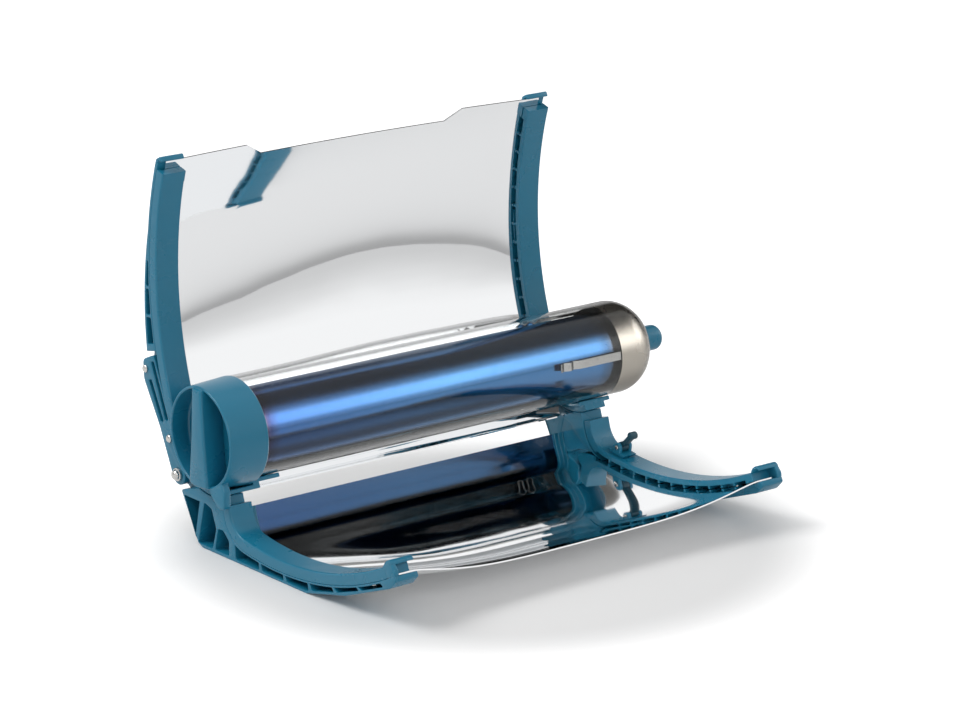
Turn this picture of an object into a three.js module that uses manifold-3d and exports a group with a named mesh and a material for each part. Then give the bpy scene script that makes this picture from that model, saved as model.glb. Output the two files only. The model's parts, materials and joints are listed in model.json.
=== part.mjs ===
// Tube solar oven: an evacuated glass tube with a pull-out food tray, lying in a folding
// pair of mirror wings. Millimetres, +Z up, X along the tube, -Y towards the sun.
// Everything is first placed round the tube's axis, and the whole is set on the floor at the end.
import * as THREE from 'three';
import { mergeVertices } from 'three/addons/utils/BufferGeometryUtils.js';
import Module from 'manifold-3d';

const wasm = await Module();
wasm.setup();

// Clearances and cutting
const fitGap = 0.3;
const overrun = 1;
const turnSegments = 40;
const smallSegments = 16;
const domeSegments = 7;
const lugSegments = 12;
const sheetColumns = 12;
const lowerArcSteps = 18;
const upperArcSteps = 20;
const neckSteps = 6;
const wrapSteps = 9;
const seatSteps = 5;
const lugSteps = 10;
const earSteps = 8;
const tipSegments = 24;
const sectorSegments = 10;
const traySegments = 16;

// Glass tube: outer glass, coated inner tube, end clip and getter
const glassRadius = 29;
const glassWall = 1.8;
const mouthInset = 11.5;
const domeOverhang = 38.3;
const domeLength = 24;
const tipRadius = 3;
const tipLength = 9;
const tipRoundShares = [0.5, 0.75];
const absorberRadius = 23.5;
const absorberWall = 1.6;
const domeSpacing = 14.6;
const mouthRingLength = 4.5;
const protectorRadius = 8;
const protectorWall = 2.2;
const protectorLength = 16.2;
const protectorRoundShares = [[0.5, 1], [0.2, 0.8], [0, 0.4]];
const clipThickness = 0.6;
const clipWidth = 5;
const clipLength = 46.2;
const clipWave = 2;
const clipGlassGap = 0.5;
const clipRise = 2;
const clipEnd = 15;
const clipWaveShares = [[1, 0], [0.75, 1], [0.5, 0], [0.25, 1], [0, 0.4]];
const clipHubRadius = 5.5;
const clipLegs = 3;
const clipFirstAngle = 174;
const clipHubAngle = 5;
const clipLeaveAngle = 62;
const getterRadius = 7;
const getterThickness = 1.4;
const getterWall = 2.1;

// Handle cap, plug and food tray
const capDepth = 17.7;
const capLap = 8.5;
const capSkirtWall = 2.9;
const capFlare = 1.7;
const capEdge = 1;
const capRimWall = 1.9;
const capEndWall = 3;
const sealThickness = 2;
const gripDepth = 14.4;
const gripTopHalf = 4.5;
const gripMiddleHalf = 6.3;
const gripBottomHalf = 9.2;
const tongueThickness = 5.2;
const tongueRadius = 43;
const tongueFrontAngle = 228;
const tongueRearAngle = 260;
const tongueEndFrontAngle = 239;
const tongueEndRearAngle = 246;
const tongueKneeAngle = 230;
const tongueKneeRadius = 35.5;
const plugRadius = 20.3;
const plugLength = 13;
const sealLip = 0.9;
const sealLength = 6;
const trayRadius = 19.4;
const trayWall = 0.9;
const trayShortfall = 69.8;
const trayArcStart = 186;
const trayArcEnd = 354;
const rivetRadius = 1.5;
const rivetHead = 3;
const rivetHeadHeight = 1.2;
const rivetHeadFlat = 1.8;
const rivetDepth = 6;
const rivetSpacing = 16;
const rivetDrop = 12;

// Wings: four ribs, four clamping strips and two mirror sheets
const ribMiddleX = -18.5;
const ribSpan = 287;
const ribWidth = 16;
const webThickness = 1.6;
const stripThickness = 5.4;
const flangeWall = 1.6;
const bandWall = 2;
const ladderPitch = 11.35;
const ladderWall = 1.5;
const ladderCells = 12;
const stripEndBlock = 6.7;
const sheetThickness = 0.8;
const sheetInset = 5;
const sheetClear = 0.6;

// Lower wing
const lowerDrop = 28;
const lowerRadius = 225;
const lowerVertexY = -68;
const lowerSweepFront = 104.2;
const lowerSweepRear = 35;
const neckRadius = 16;
const neckTurn = 66;
const neckRise = 5;
const noseLength = 7;
const noseThickness = 3.2;
const kneeShare = 0.303;
const pocketRearShare = 0.75;
const footDepth = 13;
const footFrontY = -93;
const footRearY = 9;
const footRearRise = 2.5;
const footRearSet = 4.5;
const hipY = 23;
const hipZ = -40.5;
const lowerRibDepth = 12.6;
const lowerTopWall = 1.3;
const lowerBottomWall = 1.6;
const trussWall = 2;
const trussSlant = 3;
const hookLength = 7;
const hookRise = 3;
const hookWall = 1.7;
const lowerSheetStart = 3;
const lowerSheetCrown = 4.6;
const sheetSag = 9.4;
const sheetSagLength = 115;
const sheetSagStart = 15;
const sagSoftShare = 0.1;
const sheetNeckRadius = 50;
const sheetNeckTurn = 32.5;

// Upper wing
const wrapGap = 0.34;
const upperRadius = 210;
const upperVertexZ = 84;
const upperTipZ = 151.6;
const upperRootZ = 2;
const upperStripStart = 5;
const rimDepth = 2.4;
const trussDepth = 9.7;
const trussTopDrop = 41.6;
const trussRootGap = 4.4;
const upperCellDrop = 59.6;
const upperCellRootGap = 2.5;
const upperCells = 3;
const upperCellWall = 1.5;
const tipHookWall = 1.8;
const tipHookClear = 0.5;
const tipHookCorner = 1.2;
const tipHookFront = 2.6;
const wrapEndAngle = -95;
const notchDepth = 7;
const notchBottomHalf = 68;
const notchTopHalf = 80;

// Hinge: rod, sleeve, end nuts and the two slotted arms
const hingeStandoff = 15.5;
const hingeAngle = -44;
const rodRadius = 2.6;
const rodEnd = 3.4;
const lugRadius = 7;
const lugStartAngle = -100;
const lugEndAngle = 190;
const lugWidth = 10.4;
const armThickness = 5;
const armLength = 71;
const armTopStandoff = 15.32;
const armTopZ = 34.9;
const armFront = 4.4;
const armLugRadius = 6.4;
const armHeel = 11.6;
const armHeelShare = 0.845;
const armHeelLength = armLength * armHeelShare;
const armWaist = 7.4;
const armWaistLength = 30;
const slotWidth = 3.3;
const slotFrontAcross = -1.5;
const slotBackAcross = 3.6;
const slotBackFlare = 2;
const slotStart = 32;
const slotFrontEnd = 67.5;
const slotBackEnd = 58;
const armScrewLow = 21.5;
const armScrewEndInset = 6;
const armScrewHighAcross = 6.6;
const tongueRootLength = 15;
const sleeveWall = 1.2;
const nutRadius = 4.4;
const nutLength = 5;
const nutDomeShares = [[0.45, 1], [0.85, 0.72]];

// Saddles under the tube
const saddleWall = 2.6;
const saddleSeatGap = 0.8;
const saddleLeftLength = 19.5;
const saddleRightOverhang = 3.5;
const saddleStep = 4.5;
const saddleCapGap = 0.5;
const saddleFrontAngle = -116;
const saddleRearAngle = -72;
const neckSeatFrontAngle = -107;

// Screws
const screwRadius = 1.2;
const screwHeadRadius = 2.3;
const screwHeadHeight = 1.4;
const screwInset = 8.5;
const bossInset = 11.5;
const screwTipGap = 0.7;
const lowerScrewCells = [1, 9];
const upperScrewCells = [1, 6];

// Latch on the lower right strip
const latchPlaceAngle = -81.5;
const latchBaseLength = 15;
const latchBaseWidth = 10;
const latchBaseHeight = 2.4;
const latchEarWidth = 2.2;
const latchPinHeight = 5.4;
const latchPinRadius = 1.3;
const latchEarRadius = 2.9;
const latchHubRadius = 3;
const latchLeverLength = 12.5;
const latchLeverWidth = 5;
const latchLeverThickness = 2.6;
const latchKnobRadius = 2.4;
const latchLeverAngle = 135;
const latchPinOverhang = 0.8;

// Colours
const tealPlastic = { color: 0x1b6f86, roughness: 0.45, metalness: 0 };
const darkPlastic = { color: 0x10313f, roughness: 0.5, metalness: 0 };
const mirrorSheet = { color: 0xdfe3e6, roughness: 0.06, metalness: 1 };
const clearGlass = { color: 0xcfd8dc, roughness: 0.03, metalness: 0 };
const absorberCoat = { color: 0x1d3f8c, roughness: 0.22, metalness: 0.8 };
const steel = { color: 0xb9bcbd, roughness: 0.28, metalness: 1 };
const silicone = { color: 0x5a5f62, roughness: 0.7, metalness: 0 };

// Plain helpers
const radians = (degrees) => THREE.MathUtils.degToRad(degrees);
const polar = (radius, degrees) => {
  const angle = radians(degrees);
  return [radius * Math.cos(angle), radius * Math.sin(angle)];
};

function arcPoints(radius, start, end, steps) {
  const points = [];
  for (let i = 0; i <= steps; i += 1) {
    points.push(polar(radius, start + ((end - start) * i) / steps));
  }
  return points;
}

// A closed solid from a geometry, with its faces turned outwards
function solidOf(geometry) {
  const bare = geometry.clone();
  bare.deleteAttribute('normal');
  bare.deleteAttribute('uv');
  const merged = mergeVertices(bare);
  const places = merged.getAttribute('position').array;
  const corners = merged.getIndex().array;
  const kept = [];
  let volume = 0;
  for (let i = 0; i < corners.length; i += 3) {
    const [a, b, c] = [corners[i], corners[i + 1], corners[i + 2]];
    if (a === b || b === c || c === a) continue;
    kept.push([a, b, c]);
    const [p, q, r] = [a, b, c].map((corner) => new THREE.Vector3().fromArray(places, corner * 3));
    volume += p.dot(q.cross(r));
  }
  const turned = volume < 0 ? kept.map(([a, b, c]) => [a, c, b]) : kept;
  const mesh = new wasm.Mesh({
    numProp: 3,
    vertProperties: new Float32Array(places),
    triVerts: new Uint32Array(turned.flat()),
  });
  return new wasm.Manifold(mesh);
}

const joinAll = (solids) => solids.reduce((sum, solid) => sum.add(solid));
const cutAll = (body, cutters) => cutters.reduce((rest, cutter) => rest.subtract(cutter), body);

// A solid along X through a row of outlines that have equal numbers of [x, y, z] points
function lofted(outlines) {
  const flat = (outline) => outline.map(([, y, z]) => new THREE.Vector2(y, z));
  const isTurned = THREE.ShapeUtils.isClockWise(flat(outlines[0]));
  const loops = isTurned ? outlines.map((outline) => [...outline].reverse()) : outlines;
  const count = loops[0].length;
  const corners = [];
  for (let i = 0; i + 1 < loops.length; i += 1) {
    for (let k = 0; k < count; k += 1) {
      const [a, b] = [i * count + k, i * count + ((k + 1) % count)];
      corners.push(a, b, b + count, a, b + count, a + count);
    }
  }
  const last = (loops.length - 1) * count;
  for (const [a, b, c] of THREE.ShapeUtils.triangulateShape(flat(loops[0]), [])) corners.push(c, b, a);
  for (const face of THREE.ShapeUtils.triangulateShape(flat(loops[loops.length - 1]), [])) {
    corners.push(...face.map((corner) => last + corner));
  }
  const geometry = new THREE.BufferGeometry();
  geometry.setAttribute('position', new THREE.Float32BufferAttribute(loops.flat(2), 3));
  geometry.setIndex(corners);
  return solidOf(geometry);
}

// A prism along X from an outline of [y, z] points
function prism(outline, xStart, xEnd) {
  const shape = new THREE.Shape(outline.map(([y, z]) => new THREE.Vector2(y, z)));
  const low = Math.min(xStart, xEnd);
  const depth = Math.abs(xEnd - xStart);
  const geometry = new THREE.ExtrudeGeometry(shape, { depth, bevelEnabled: false });
  const axes = new THREE.Matrix4().makeBasis(
    new THREE.Vector3(0, 1, 0),
    new THREE.Vector3(0, 0, 1),
    new THREE.Vector3(1, 0, 0),
  );
  geometry.applyMatrix4(axes);
  geometry.translate(low, 0, 0);
  return solidOf(geometry);
}

// A prism along Y from an outline of [x, z] points
function prismAlongY(outline, yStart, yEnd) {
  const shape = new THREE.Shape(outline.map(([x, z]) => new THREE.Vector2(x, z)));
  const geometry = new THREE.ExtrudeGeometry(shape, { depth: yEnd - yStart, bevelEnabled: false });
  geometry.rotateX(Math.PI / 2);
  geometry.translate(0, yEnd, 0);
  return solidOf(geometry);
}

// A turned solid round the tube's axis from a profile of [x, radius] points
function turnedGeometry(profile, segments) {
  const points = profile.map(([x, radius]) => new THREE.Vector2(radius, x));
  const geometry = new THREE.LatheGeometry(points, segments);
  geometry.rotateZ(-Math.PI / 2);
  return geometry;
}
const turned = (profile, segments = turnSegments) => solidOf(turnedGeometry(profile, segments));
const rod = (radius, xStart, xEnd, segments = smallSegments) =>
  turned([[xStart, 0], [xStart, radius], [xEnd, radius], [xEnd, 0]], segments);
const ring = (inner, outer, xStart, xEnd, segments = turnSegments) =>
  turned([[xStart, inner], [xStart, outer], [xEnd, outer], [xEnd, inner], [xStart, inner]], segments);

// A sector of a ring round the tube's axis, between two angles
function ringSector(inner, outer, start, end, xStart, xEnd, steps = sectorSegments) {
  const outline = [...arcPoints(inner, start, end, steps), ...arcPoints(outer, end, start, steps)];
  return prism(outline, xStart, xEnd);
}

function geometryOf(solid) {
  const mesh = solid.getMesh();
  const geometry = new THREE.BufferGeometry();
  const places = new Float32Array(mesh.numVert * 3);
  for (let i = 0; i < mesh.numVert; i += 1) {
    for (let k = 0; k < 3; k += 1) {
      places[i * 3 + k] = mesh.vertProperties[i * mesh.numProp + k];
    }
  }
  geometry.setAttribute('position', new THREE.BufferAttribute(places, 3));
  geometry.setIndex(new THREE.BufferAttribute(new Uint32Array(mesh.triVerts), 1));
  geometry.computeVertexNormals();
  return geometry;
}

function piece(name, solid, finish) {
  const mesh = new THREE.Mesh(geometryOf(solid), new THREE.MeshStandardMaterial(finish));
  mesh.name = name;
  return mesh;
}

// Curves of the wings
// A curve is a list of stations: a place on the front face of the strips, its outward
// normal, and the length s along the curve from the wing's tip.
function arcStations(centre, radius, start, end, steps) {
  const stations = [];
  for (let i = 0; i <= steps; i += 1) {
    const [ny, nz] = polar(1, start + ((end - start) * i) / steps);
    stations.push({ y: centre[0] + radius * ny, z: centre[1] + radius * nz, ny, nz });
  }
  return stations;
}

function measured(stations) {
  let s = 0;
  return stations.map((station, i) => {
    if (i > 0) s += Math.hypot(station.y - stations[i - 1].y, station.z - stations[i - 1].z);
    return { ...station, s };
  });
}

function stationAt(curve, s) {
  let i = 1;
  while (i < curve.length - 1 && curve[i].s < s) i += 1;
  const [a, b] = [curve[i - 1], curve[i]];
  const share = (s - a.s) / (b.s - a.s);
  const mix = (key) => a[key] + (b[key] - a[key]) * share;
  const size = Math.hypot(mix('ny'), mix('nz'));
  return { y: mix('y'), z: mix('z'), ny: mix('ny') / size, nz: mix('nz') / size, s };
}

const stretch = (curve, from, to) => [
  stationAt(curve, from),
  ...curve.filter((station) => station.s > from && station.s < to),
  stationAt(curve, to),
];
const offset = (stations, depth) => stations.map(({ y, z, ny, nz }) => [y + ny * depth, z + nz * depth]);
const band = (stations, near, far) => [...offset(stations, near), ...offset(stations, far).reverse()];

const asin = (ratio) => THREE.MathUtils.radToDeg(Math.asin(ratio));

const lowerVertexZ = -(glassRadius + lowerDrop);
const lowerCentre = [lowerVertexY, lowerVertexZ + lowerRadius];
const lowerFrontAngle = -90 - asin(lowerSweepFront / lowerRadius);
const lowerRearAngle = -90 + asin(lowerSweepRear / lowerRadius);
const lowerArc = arcStations(lowerCentre, lowerRadius, lowerFrontAngle, lowerRearAngle, lowerArcSteps);
const lowerArcEnd = lowerArc[lowerArc.length - 1];
const [neckCentre] = offset([lowerArcEnd], -neckRadius);
const neckArc = arcStations(neckCentre, neckRadius, lowerRearAngle, lowerRearAngle + neckTurn, neckSteps);
const neckEnd = neckArc[neckArc.length - 1];
const neckTop = {
  ...neckEnd,
  y: neckEnd.y - neckEnd.nz * neckRise,
  z: neckEnd.z + neckEnd.ny * neckRise,
};
const lowerCurve = measured([...lowerArc, ...neckArc.slice(1), neckTop]);
const lowerArcLength = lowerCurve[lowerArc.length - 1].s;
const lowerLength = lowerCurve[lowerCurve.length - 1].s;
const floorZ = lowerVertexZ - footDepth;

// Between the ribs the lower sheet leaves the neck and rises more gently under the tube
const [sheetNeckCentre] = offset([lowerArcEnd], -sheetNeckRadius);
const sheetNeckEnd = lowerRearAngle + sheetNeckTurn;
const sheetNeck = arcStations(sheetNeckCentre, sheetNeckRadius, lowerRearAngle, sheetNeckEnd, neckSteps);
const lowerSheetCurve = measured([...lowerArc, ...sheetNeck.slice(1)]);
const lowerSheetLength = lowerSheetCurve[lowerSheetCurve.length - 1].s;

// The sheet leaves the upper arc on its tangent and wraps the saddles' back, round the tube's
// axis, so the arc's place along Y follows from that circle
const sheetDepth = stripThickness + fitGap;
const ribTopDepth = sheetDepth + sheetThickness + fitGap;
const seatRadius = glassRadius + fitGap + capSkirtWall + saddleSeatGap + saddleWall + fitGap;
const wrapRadius = seatRadius + wrapGap - sheetDepth;
const upperTipAngle = asin((upperTipZ - upperVertexZ) / upperRadius);
const upperRootAngle = asin((upperRootZ - upperVertexZ) / upperRadius);
const [rootNormalY, rootNormalZ] = polar(1, upperRootAngle);
const upperCentreY = (wrapRadius - upperRadius - upperVertexZ * rootNormalZ) / rootNormalY;
const upperCentre = [upperCentreY, upperVertexZ];
const upperArc = arcStations(upperCentre, upperRadius, upperTipAngle, upperRootAngle, upperArcSteps);
const upperCurve = measured(upperArc);
const upperLength = upperCurve[upperCurve.length - 1].s;
const wrapArc = arcStations([0, 0], wrapRadius, upperRootAngle, wrapEndAngle, wrapSteps);
const upperSheetCurve = measured([...upperArc, ...wrapArc]);

const hinge = polar(glassRadius + hingeStandoff, hingeAngle);

// Rows across a rib: distances measured from the rib's outer face towards the oven's middle
const sides = {
  left: { outer: ribMiddleX - ribSpan / 2, inward: 1 },
  right: { outer: ribMiddleX + ribSpan / 2, inward: -1 },
};
const across = (side, distance) => side.outer + side.inward * distance;
const mouthX = sides.left.outer + mouthInset;
const domeEndX = sides.right.outer + domeOverhang;

// Screws, all alike: the head's underside is at the origin and the shaft runs along -Z
function screwSolid(shaftLength) {
  const profile = [
    [0, screwHeadHeight],
    [screwHeadRadius, screwHeadHeight],
    [screwHeadRadius, 0],
    [screwRadius, 0],
    [screwRadius, -shaftLength],
    [0, -shaftLength],
  ];
  const points = profile.map(([radius, height]) => new THREE.Vector2(radius, height));
  const geometry = new THREE.LatheGeometry(points, smallSegments);
  geometry.rotateX(Math.PI / 2);
  return solidOf(geometry);
}

function screw(name, place, direction, shaftLength) {
  const mesh = piece(name, screwSolid(shaftLength), steel);
  mesh.position.copy(place);
  mesh.quaternion.setFromUnitVectors(new THREE.Vector3(0, 0, 1), direction);
  return mesh;
}

// A round cutter along a direction, centred on a place
function boreSolid(radius, place, direction, before, after) {
  const geometry = new THREE.CylinderGeometry(radius, radius, before + after, smallSegments);
  geometry.rotateX(Math.PI / 2);
  geometry.translate(0, 0, (after - before) / 2);
  const turn = new THREE.Quaternion().setFromUnitVectors(new THREE.Vector3(0, 0, 1), direction);
  geometry.applyMatrix4(new THREE.Matrix4().compose(place, turn, new THREE.Vector3(1, 1, 1)));
  return solidOf(geometry);
}

const screwHole = screwRadius + fitGap;
const cellStart = (first, index) => first + stripEndBlock + index * ladderPitch;
const screwStation = (curve, first, cell) => stationAt(curve, cellStart(first, cell) + ladderPitch / 2);

function stripBores(curve, first, cells, side) {
  return cells.map((cell) => {
    const { y, z, ny, nz } = screwStation(curve, first, cell);
    const place = new THREE.Vector3(across(side, screwInset), y, z);
    const direction = new THREE.Vector3(0, ny, nz);
    return boreSolid(screwHole, place, direction, -flangeWall, ribTopDepth + trussDepth + overrun);
  });
}

// A strip is a channel: a front flange and an outer band, with cross walls like a ladder's
function stripSolid(curve, first, last, screwCells, side) {
  const outline = band(stretch(curve, first, last), 0, stripThickness);
  const body = prism(outline, across(side, 0), across(side, ribWidth));
  const cells = [];
  for (let i = 0; i < ladderCells; i += 1) {
    const start = cellStart(first, i) + ladderWall / 2;
    const end = cellStart(first, i + 1) - ladderWall / 2;
    const cell = band(stretch(curve, start, end), flangeWall, stripThickness + overrun);
    const inset = screwCells.includes(i) ? bossInset : bandWall;
    cells.push(prism(cell, across(side, inset), across(side, ribWidth + overrun)));
  }
  return cutAll(body, [...cells, ...stripBores(curve, first, screwCells, side)]);
}

// Lower wing
const lowerStripFirst = noseLength;

// Places in the frame of a curve's front end: ahead of the strip, and above its front face
function aheadOf(station, ahead, above) {
  const { y, z, ny, nz } = station;
  return [y + nz * ahead - ny * above, z - ny * ahead - nz * above];
}

// A loop over the sheet's corner tab, in shares of the hook's length and rise
const hookOuterShares = [[-0.12, 0], [0.2, 0.72], [0.72, 1], [1, 0.35]];
function stripHook(side) {
  const root = stationAt(lowerCurve, lowerStripFirst);
  const outer = hookOuterShares.map(([ahead, above]) => [ahead * hookLength, above * hookRise]);
  const inner = outer.map(([ahead, above]) => [ahead, above - hookWall]).reverse();
  const outline = [...outer, ...inner].map(([ahead, above]) => aheadOf(root, ahead, above));
  return prism(outline, across(side, 0), across(side, ribWidth));
}

function lowerStrip(name, side) {
  const strip = stripSolid(lowerCurve, lowerStripFirst, lowerLength, lowerScrewCells, side);
  return piece(name, strip.add(stripHook(side)), tealPlastic);
}

const noseRoot = stationAt(lowerCurve, noseLength);
const noseTip = stationAt(lowerCurve, 0);
const midStation = stationAt(lowerCurve, noseLength + (lowerArcLength - noseLength) * kneeShare);
const [noseRootBottom] = offset([noseRoot], lowerRibDepth);
const [noseTipBottom] = offset([noseTip], ribTopDepth + noseThickness);
const [midBottom] = offset([midStation], lowerRibDepth);
const footRear = [footRearY, floorZ];
const footHeel = [footRearY + footRearSet, floorZ + footRearRise];
const footFront = [footFrontY, floorZ];
const hip = [hipY, hipZ];
const seatArc = arcPoints(seatRadius, neckSeatFrontAngle, saddleRearAngle, seatSteps);

function lowerRibOutline() {
  const top = offset(lowerCurve, ribTopDepth);
  return [...top, ...seatArc, hip, footHeel, footRear, footFront, midBottom, noseRootBottom, noseTipBottom];
}

// Height of the rib's underside at a place along Y
function undersideAt(y) {
  const corners = [footRear, footFront, midBottom, noseRootBottom, noseTipBottom];
  const i = corners.findIndex((corner, k) => k > 0 && corner[0] <= y);
  const [a, b] = [corners[i - 1], corners[i]];
  return a[1] + ((b[1] - a[1]) * (y - a[0])) / (b[0] - a[0]);
}

// Front pockets: one under every two ladder cells
function frontPockets() {
  const pockets = [];
  for (let i = 0; i < ladderCells - 1; i += 2) {
    const start = cellStart(lowerStripFirst, i) + trussWall / 2;
    const end = cellStart(lowerStripFirst, i + 2) - trussWall / 2;
    const roof = offset(stretch(lowerCurve, start, end), ribTopDepth + lowerTopWall);
    const [front, rear] = [roof[0], roof[roof.length - 1]];
    const ahead = front[0] - trussSlant * (1 - i / ladderCells);
    const behind = Math.min(rear[0], pocketRearY) - trussSlant * (1 - i / ladderCells);
    const corners = [behind, Math.min(Math.max(footFrontY, ahead), behind), ahead];
    const floor = corners.map((y) => [y, undersideAt(y) + lowerBottomWall]);
    const kinked = corners[1] > ahead && corners[1] < behind;
    pockets.push([...roof, ...(kinked ? floor : [floor[0], floor[2]])]);
  }
  return pockets;
}

// Rear pockets and the window, in shares of the block between the hip and the first front pocket
const pocketRearY = lowerArcEnd.y + neckRadius * pocketRearShare;
const blockFrontY = pocketRearY + trussWall;
const rearPocketShares = [[0.95, 0.93], [0.6, 0.93], [0.71, 0.15]];
const middlePocketShares = [[0.52, 0.93], [0.66, 0.07], [0.36, 0.07], [0.28, 0.5], [0.37, 0.86]];
const windowShares = [[0.24, 0.52], [0.31, 0.07], [0.02, 0.07], [0.02, 0.36], [0.13, 0.52]];
const aroundHinge = ([y, z]) => [hinge[0] + y, hinge[1] + z];
const lugFootShares = [0.72, 0.75];
const inBlock = ([y, z]) => [
  blockFrontY + (hipY - blockFrontY) * y,
  floorZ + (hipZ - floorZ) * z,
];

function lowerRib(name, side) {
  const body = prism(lowerRibOutline(), across(side, 0), across(side, ribWidth));
  const lugOutline = [
    ...arcPoints(lugRadius, lugStartAngle, lugEndAngle, lugSegments).map(aroundHinge),
    polar(seatRadius + lowerTopWall, saddleRearAngle),
    inBlock(lugFootShares),
  ];
  const lug = prism(lugOutline, across(side, ribWidth - lugWidth), across(side, ribWidth));
  const pocketDepth = ribWidth - webThickness;
  const blockPockets = [rearPocketShares, middlePocketShares].map((table) => table.map(inBlock));
  const pockets = [...frontPockets(), ...blockPockets].map((outline) =>
    prism(outline, across(side, -overrun), across(side, pocketDepth)));
  const throughWidth = [across(side, -overrun), across(side, ribWidth + overrun)];
  const opening = prism(windowShares.map(inBlock), ...throughWidth);
  const limit = prism(lowerBoreLimit(), ...throughWidth);
  const bores = stripBores(lowerCurve, lowerStripFirst, lowerScrewCells, side);
  const hole = rod(rodRadius + fitGap, ...throughWidth).translate([0, hinge[0], hinge[1]]);
  const whole = cutAll(body, [...pockets, opening]).add(lug);
  const holes = bores.map((bore) => bore.subtract(limit));
  return piece(name, cutAll(whole, [hole, ...holes]), tealPlastic);
}

// What lies under the pockets' floor, where no screw hole goes
function lowerBoreLimit() {
  const top = offset(lowerCurve, lowerRibDepth - lowerBottomWall);
  const bottom = offset(lowerCurve, lowerRibDepth + ribTopDepth + trussDepth).reverse();
  return [...top, ...bottom];
}

// How far the sheet sags below the strips' curve between the ribs, growing towards its front edge
const openHalf = ribSpan / 2 - ribWidth;
function sagAt(away, s) {
  const across = (1 - Math.min(1, Math.abs(away) / openHalf) ** 4) ** 1.5;
  const run = Math.max(0, lowerArcLength - sheetSagStart - s) / sheetSagLength;
  return sheetSag * across * (Math.hypot(run, sagSoftShare) - sagSoftShare);
}

function sheetOutline(away, half) {
  const start = lowerSheetStart + lowerSheetCrown * (1 - (away / half) ** 2);
  const stations = stretch(lowerCurve, start, lowerArcLength);
  const sagged = stations.map((station) => ({ ...station, z: station.z - sagAt(away, station.s) }));
  const outline = band(sagged, sheetDepth, sheetDepth + sheetThickness);
  return outline.map(([y, z]) => [ribMiddleX + away, y, z]);
}

function lowerMirror() {
  const half = ribSpan / 2 - sheetInset;
  const open = [];
  for (let i = 0; i <= sheetColumns; i += 1) {
    open.push(openHalf * ((2 * i) / sheetColumns - 1));
  }
  const wide = lofted([-half, ...open, half].map((away) => sheetOutline(away, half)));
  const inner = ribWidth + sheetClear;
  const free = stretch(lowerSheetCurve, lowerSheetCurve[lowerArcSteps - 1].s, lowerSheetLength);
  const outline = band(free, sheetDepth, sheetDepth + sheetThickness);
  const narrow = prism(outline, across(sides.left, inner), across(sides.right, inner));
  const bores = Object.values(sides).flatMap((side) =>
    stripBores(lowerCurve, lowerStripFirst, lowerScrewCells, side));
  return piece('lower_mirror', cutAll(wide.add(narrow), bores), mirrorSheet);
}

// Saddles: curved plates that carry the tube, stepped round the handle cap at the left
function saddle(name, sections) {
  const parts = sections.map(([inner, outer, xStart, xEnd]) =>
    ringSector(inner, outer, saddleFrontAngle, saddleRearAngle, xStart, xEnd));
  return piece(name, joinAll(parts), tealPlastic);
}

function saddles() {
  const seatInner = glassRadius + fitGap;
  const thick = seatRadius - fitGap;
  const capClear = thick - saddleWall;
  const capRear = mouthX + capLap;
  const stepX = capRear + saddleCapGap;
  const left = saddle('saddle_left', [
    [capClear, thick, across(sides.left, fitGap), stepX + saddleStep],
    [seatInner, thick, stepX, stepX + saddleStep],
    [seatInner, seatInner + saddleWall, stepX, stepX + saddleLeftLength],
  ]);
  const right = saddle('saddle_right', [
    [seatInner, thick, across(sides.right, ribWidth), across(sides.right, fitGap)],
    [seatInner, seatInner + saddleWall, across(sides.right, ribWidth + saddleRightOverhang),
      across(sides.right, -saddleStep)],
  ]);
  return [left, right];
}

// Upper wing
const upperStripFirst = upperStripStart;
const stationAtZ = (z) => {
  const angle = asin((z - upperVertexZ) / upperRadius);
  return stationAt(upperCurve, (upperLength * (upperTipAngle - angle)) / (upperTipAngle - upperRootAngle));
};

const trussTopZ = upperTipZ - trussTopDrop;
const upperCellTopZ = upperTipZ - upperCellDrop;

// Depth of the upper rib's back behind the sheet, deeper towards the hinge arm
function backDepthAt(z) {
  const share = Math.min(1, Math.max(0, (trussTopZ - z) / (trussTopZ - trussRootZ)));
  return ribTopDepth + rimDepth + (trussDepth - rimDepth) * share;
}

// The hinge arm's own frame: along it from the hinge, and across it towards the back
const armTopY = stationAtZ(armTopZ).y + armTopStandoff;
const armDirection = new THREE.Vector2(armTopY - hinge[0], armTopZ - hinge[1]).normalize();
const onArm = ([along, over]) => [
  hinge[0] + armDirection.x * along + armDirection.y * over,
  hinge[1] + armDirection.y * along - armDirection.x * over,
];
const armScrews = [[armScrewLow, 0], [armLength - armScrewEndInset, armScrewHighAcross]];
const trussRootZ = onArm([armLength, -armFront])[1] + trussRootGap;
const upperCellRootZ = trussRootZ + upperCellRootGap;

function armOutline(inset) {
  return [
    [armLength - inset, -armFront + inset],
    [armLength - inset, armWaist - inset],
    [armHeelLength, armHeel - inset],
    [armWaistLength, armWaist - inset],
  ];
}

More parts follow.
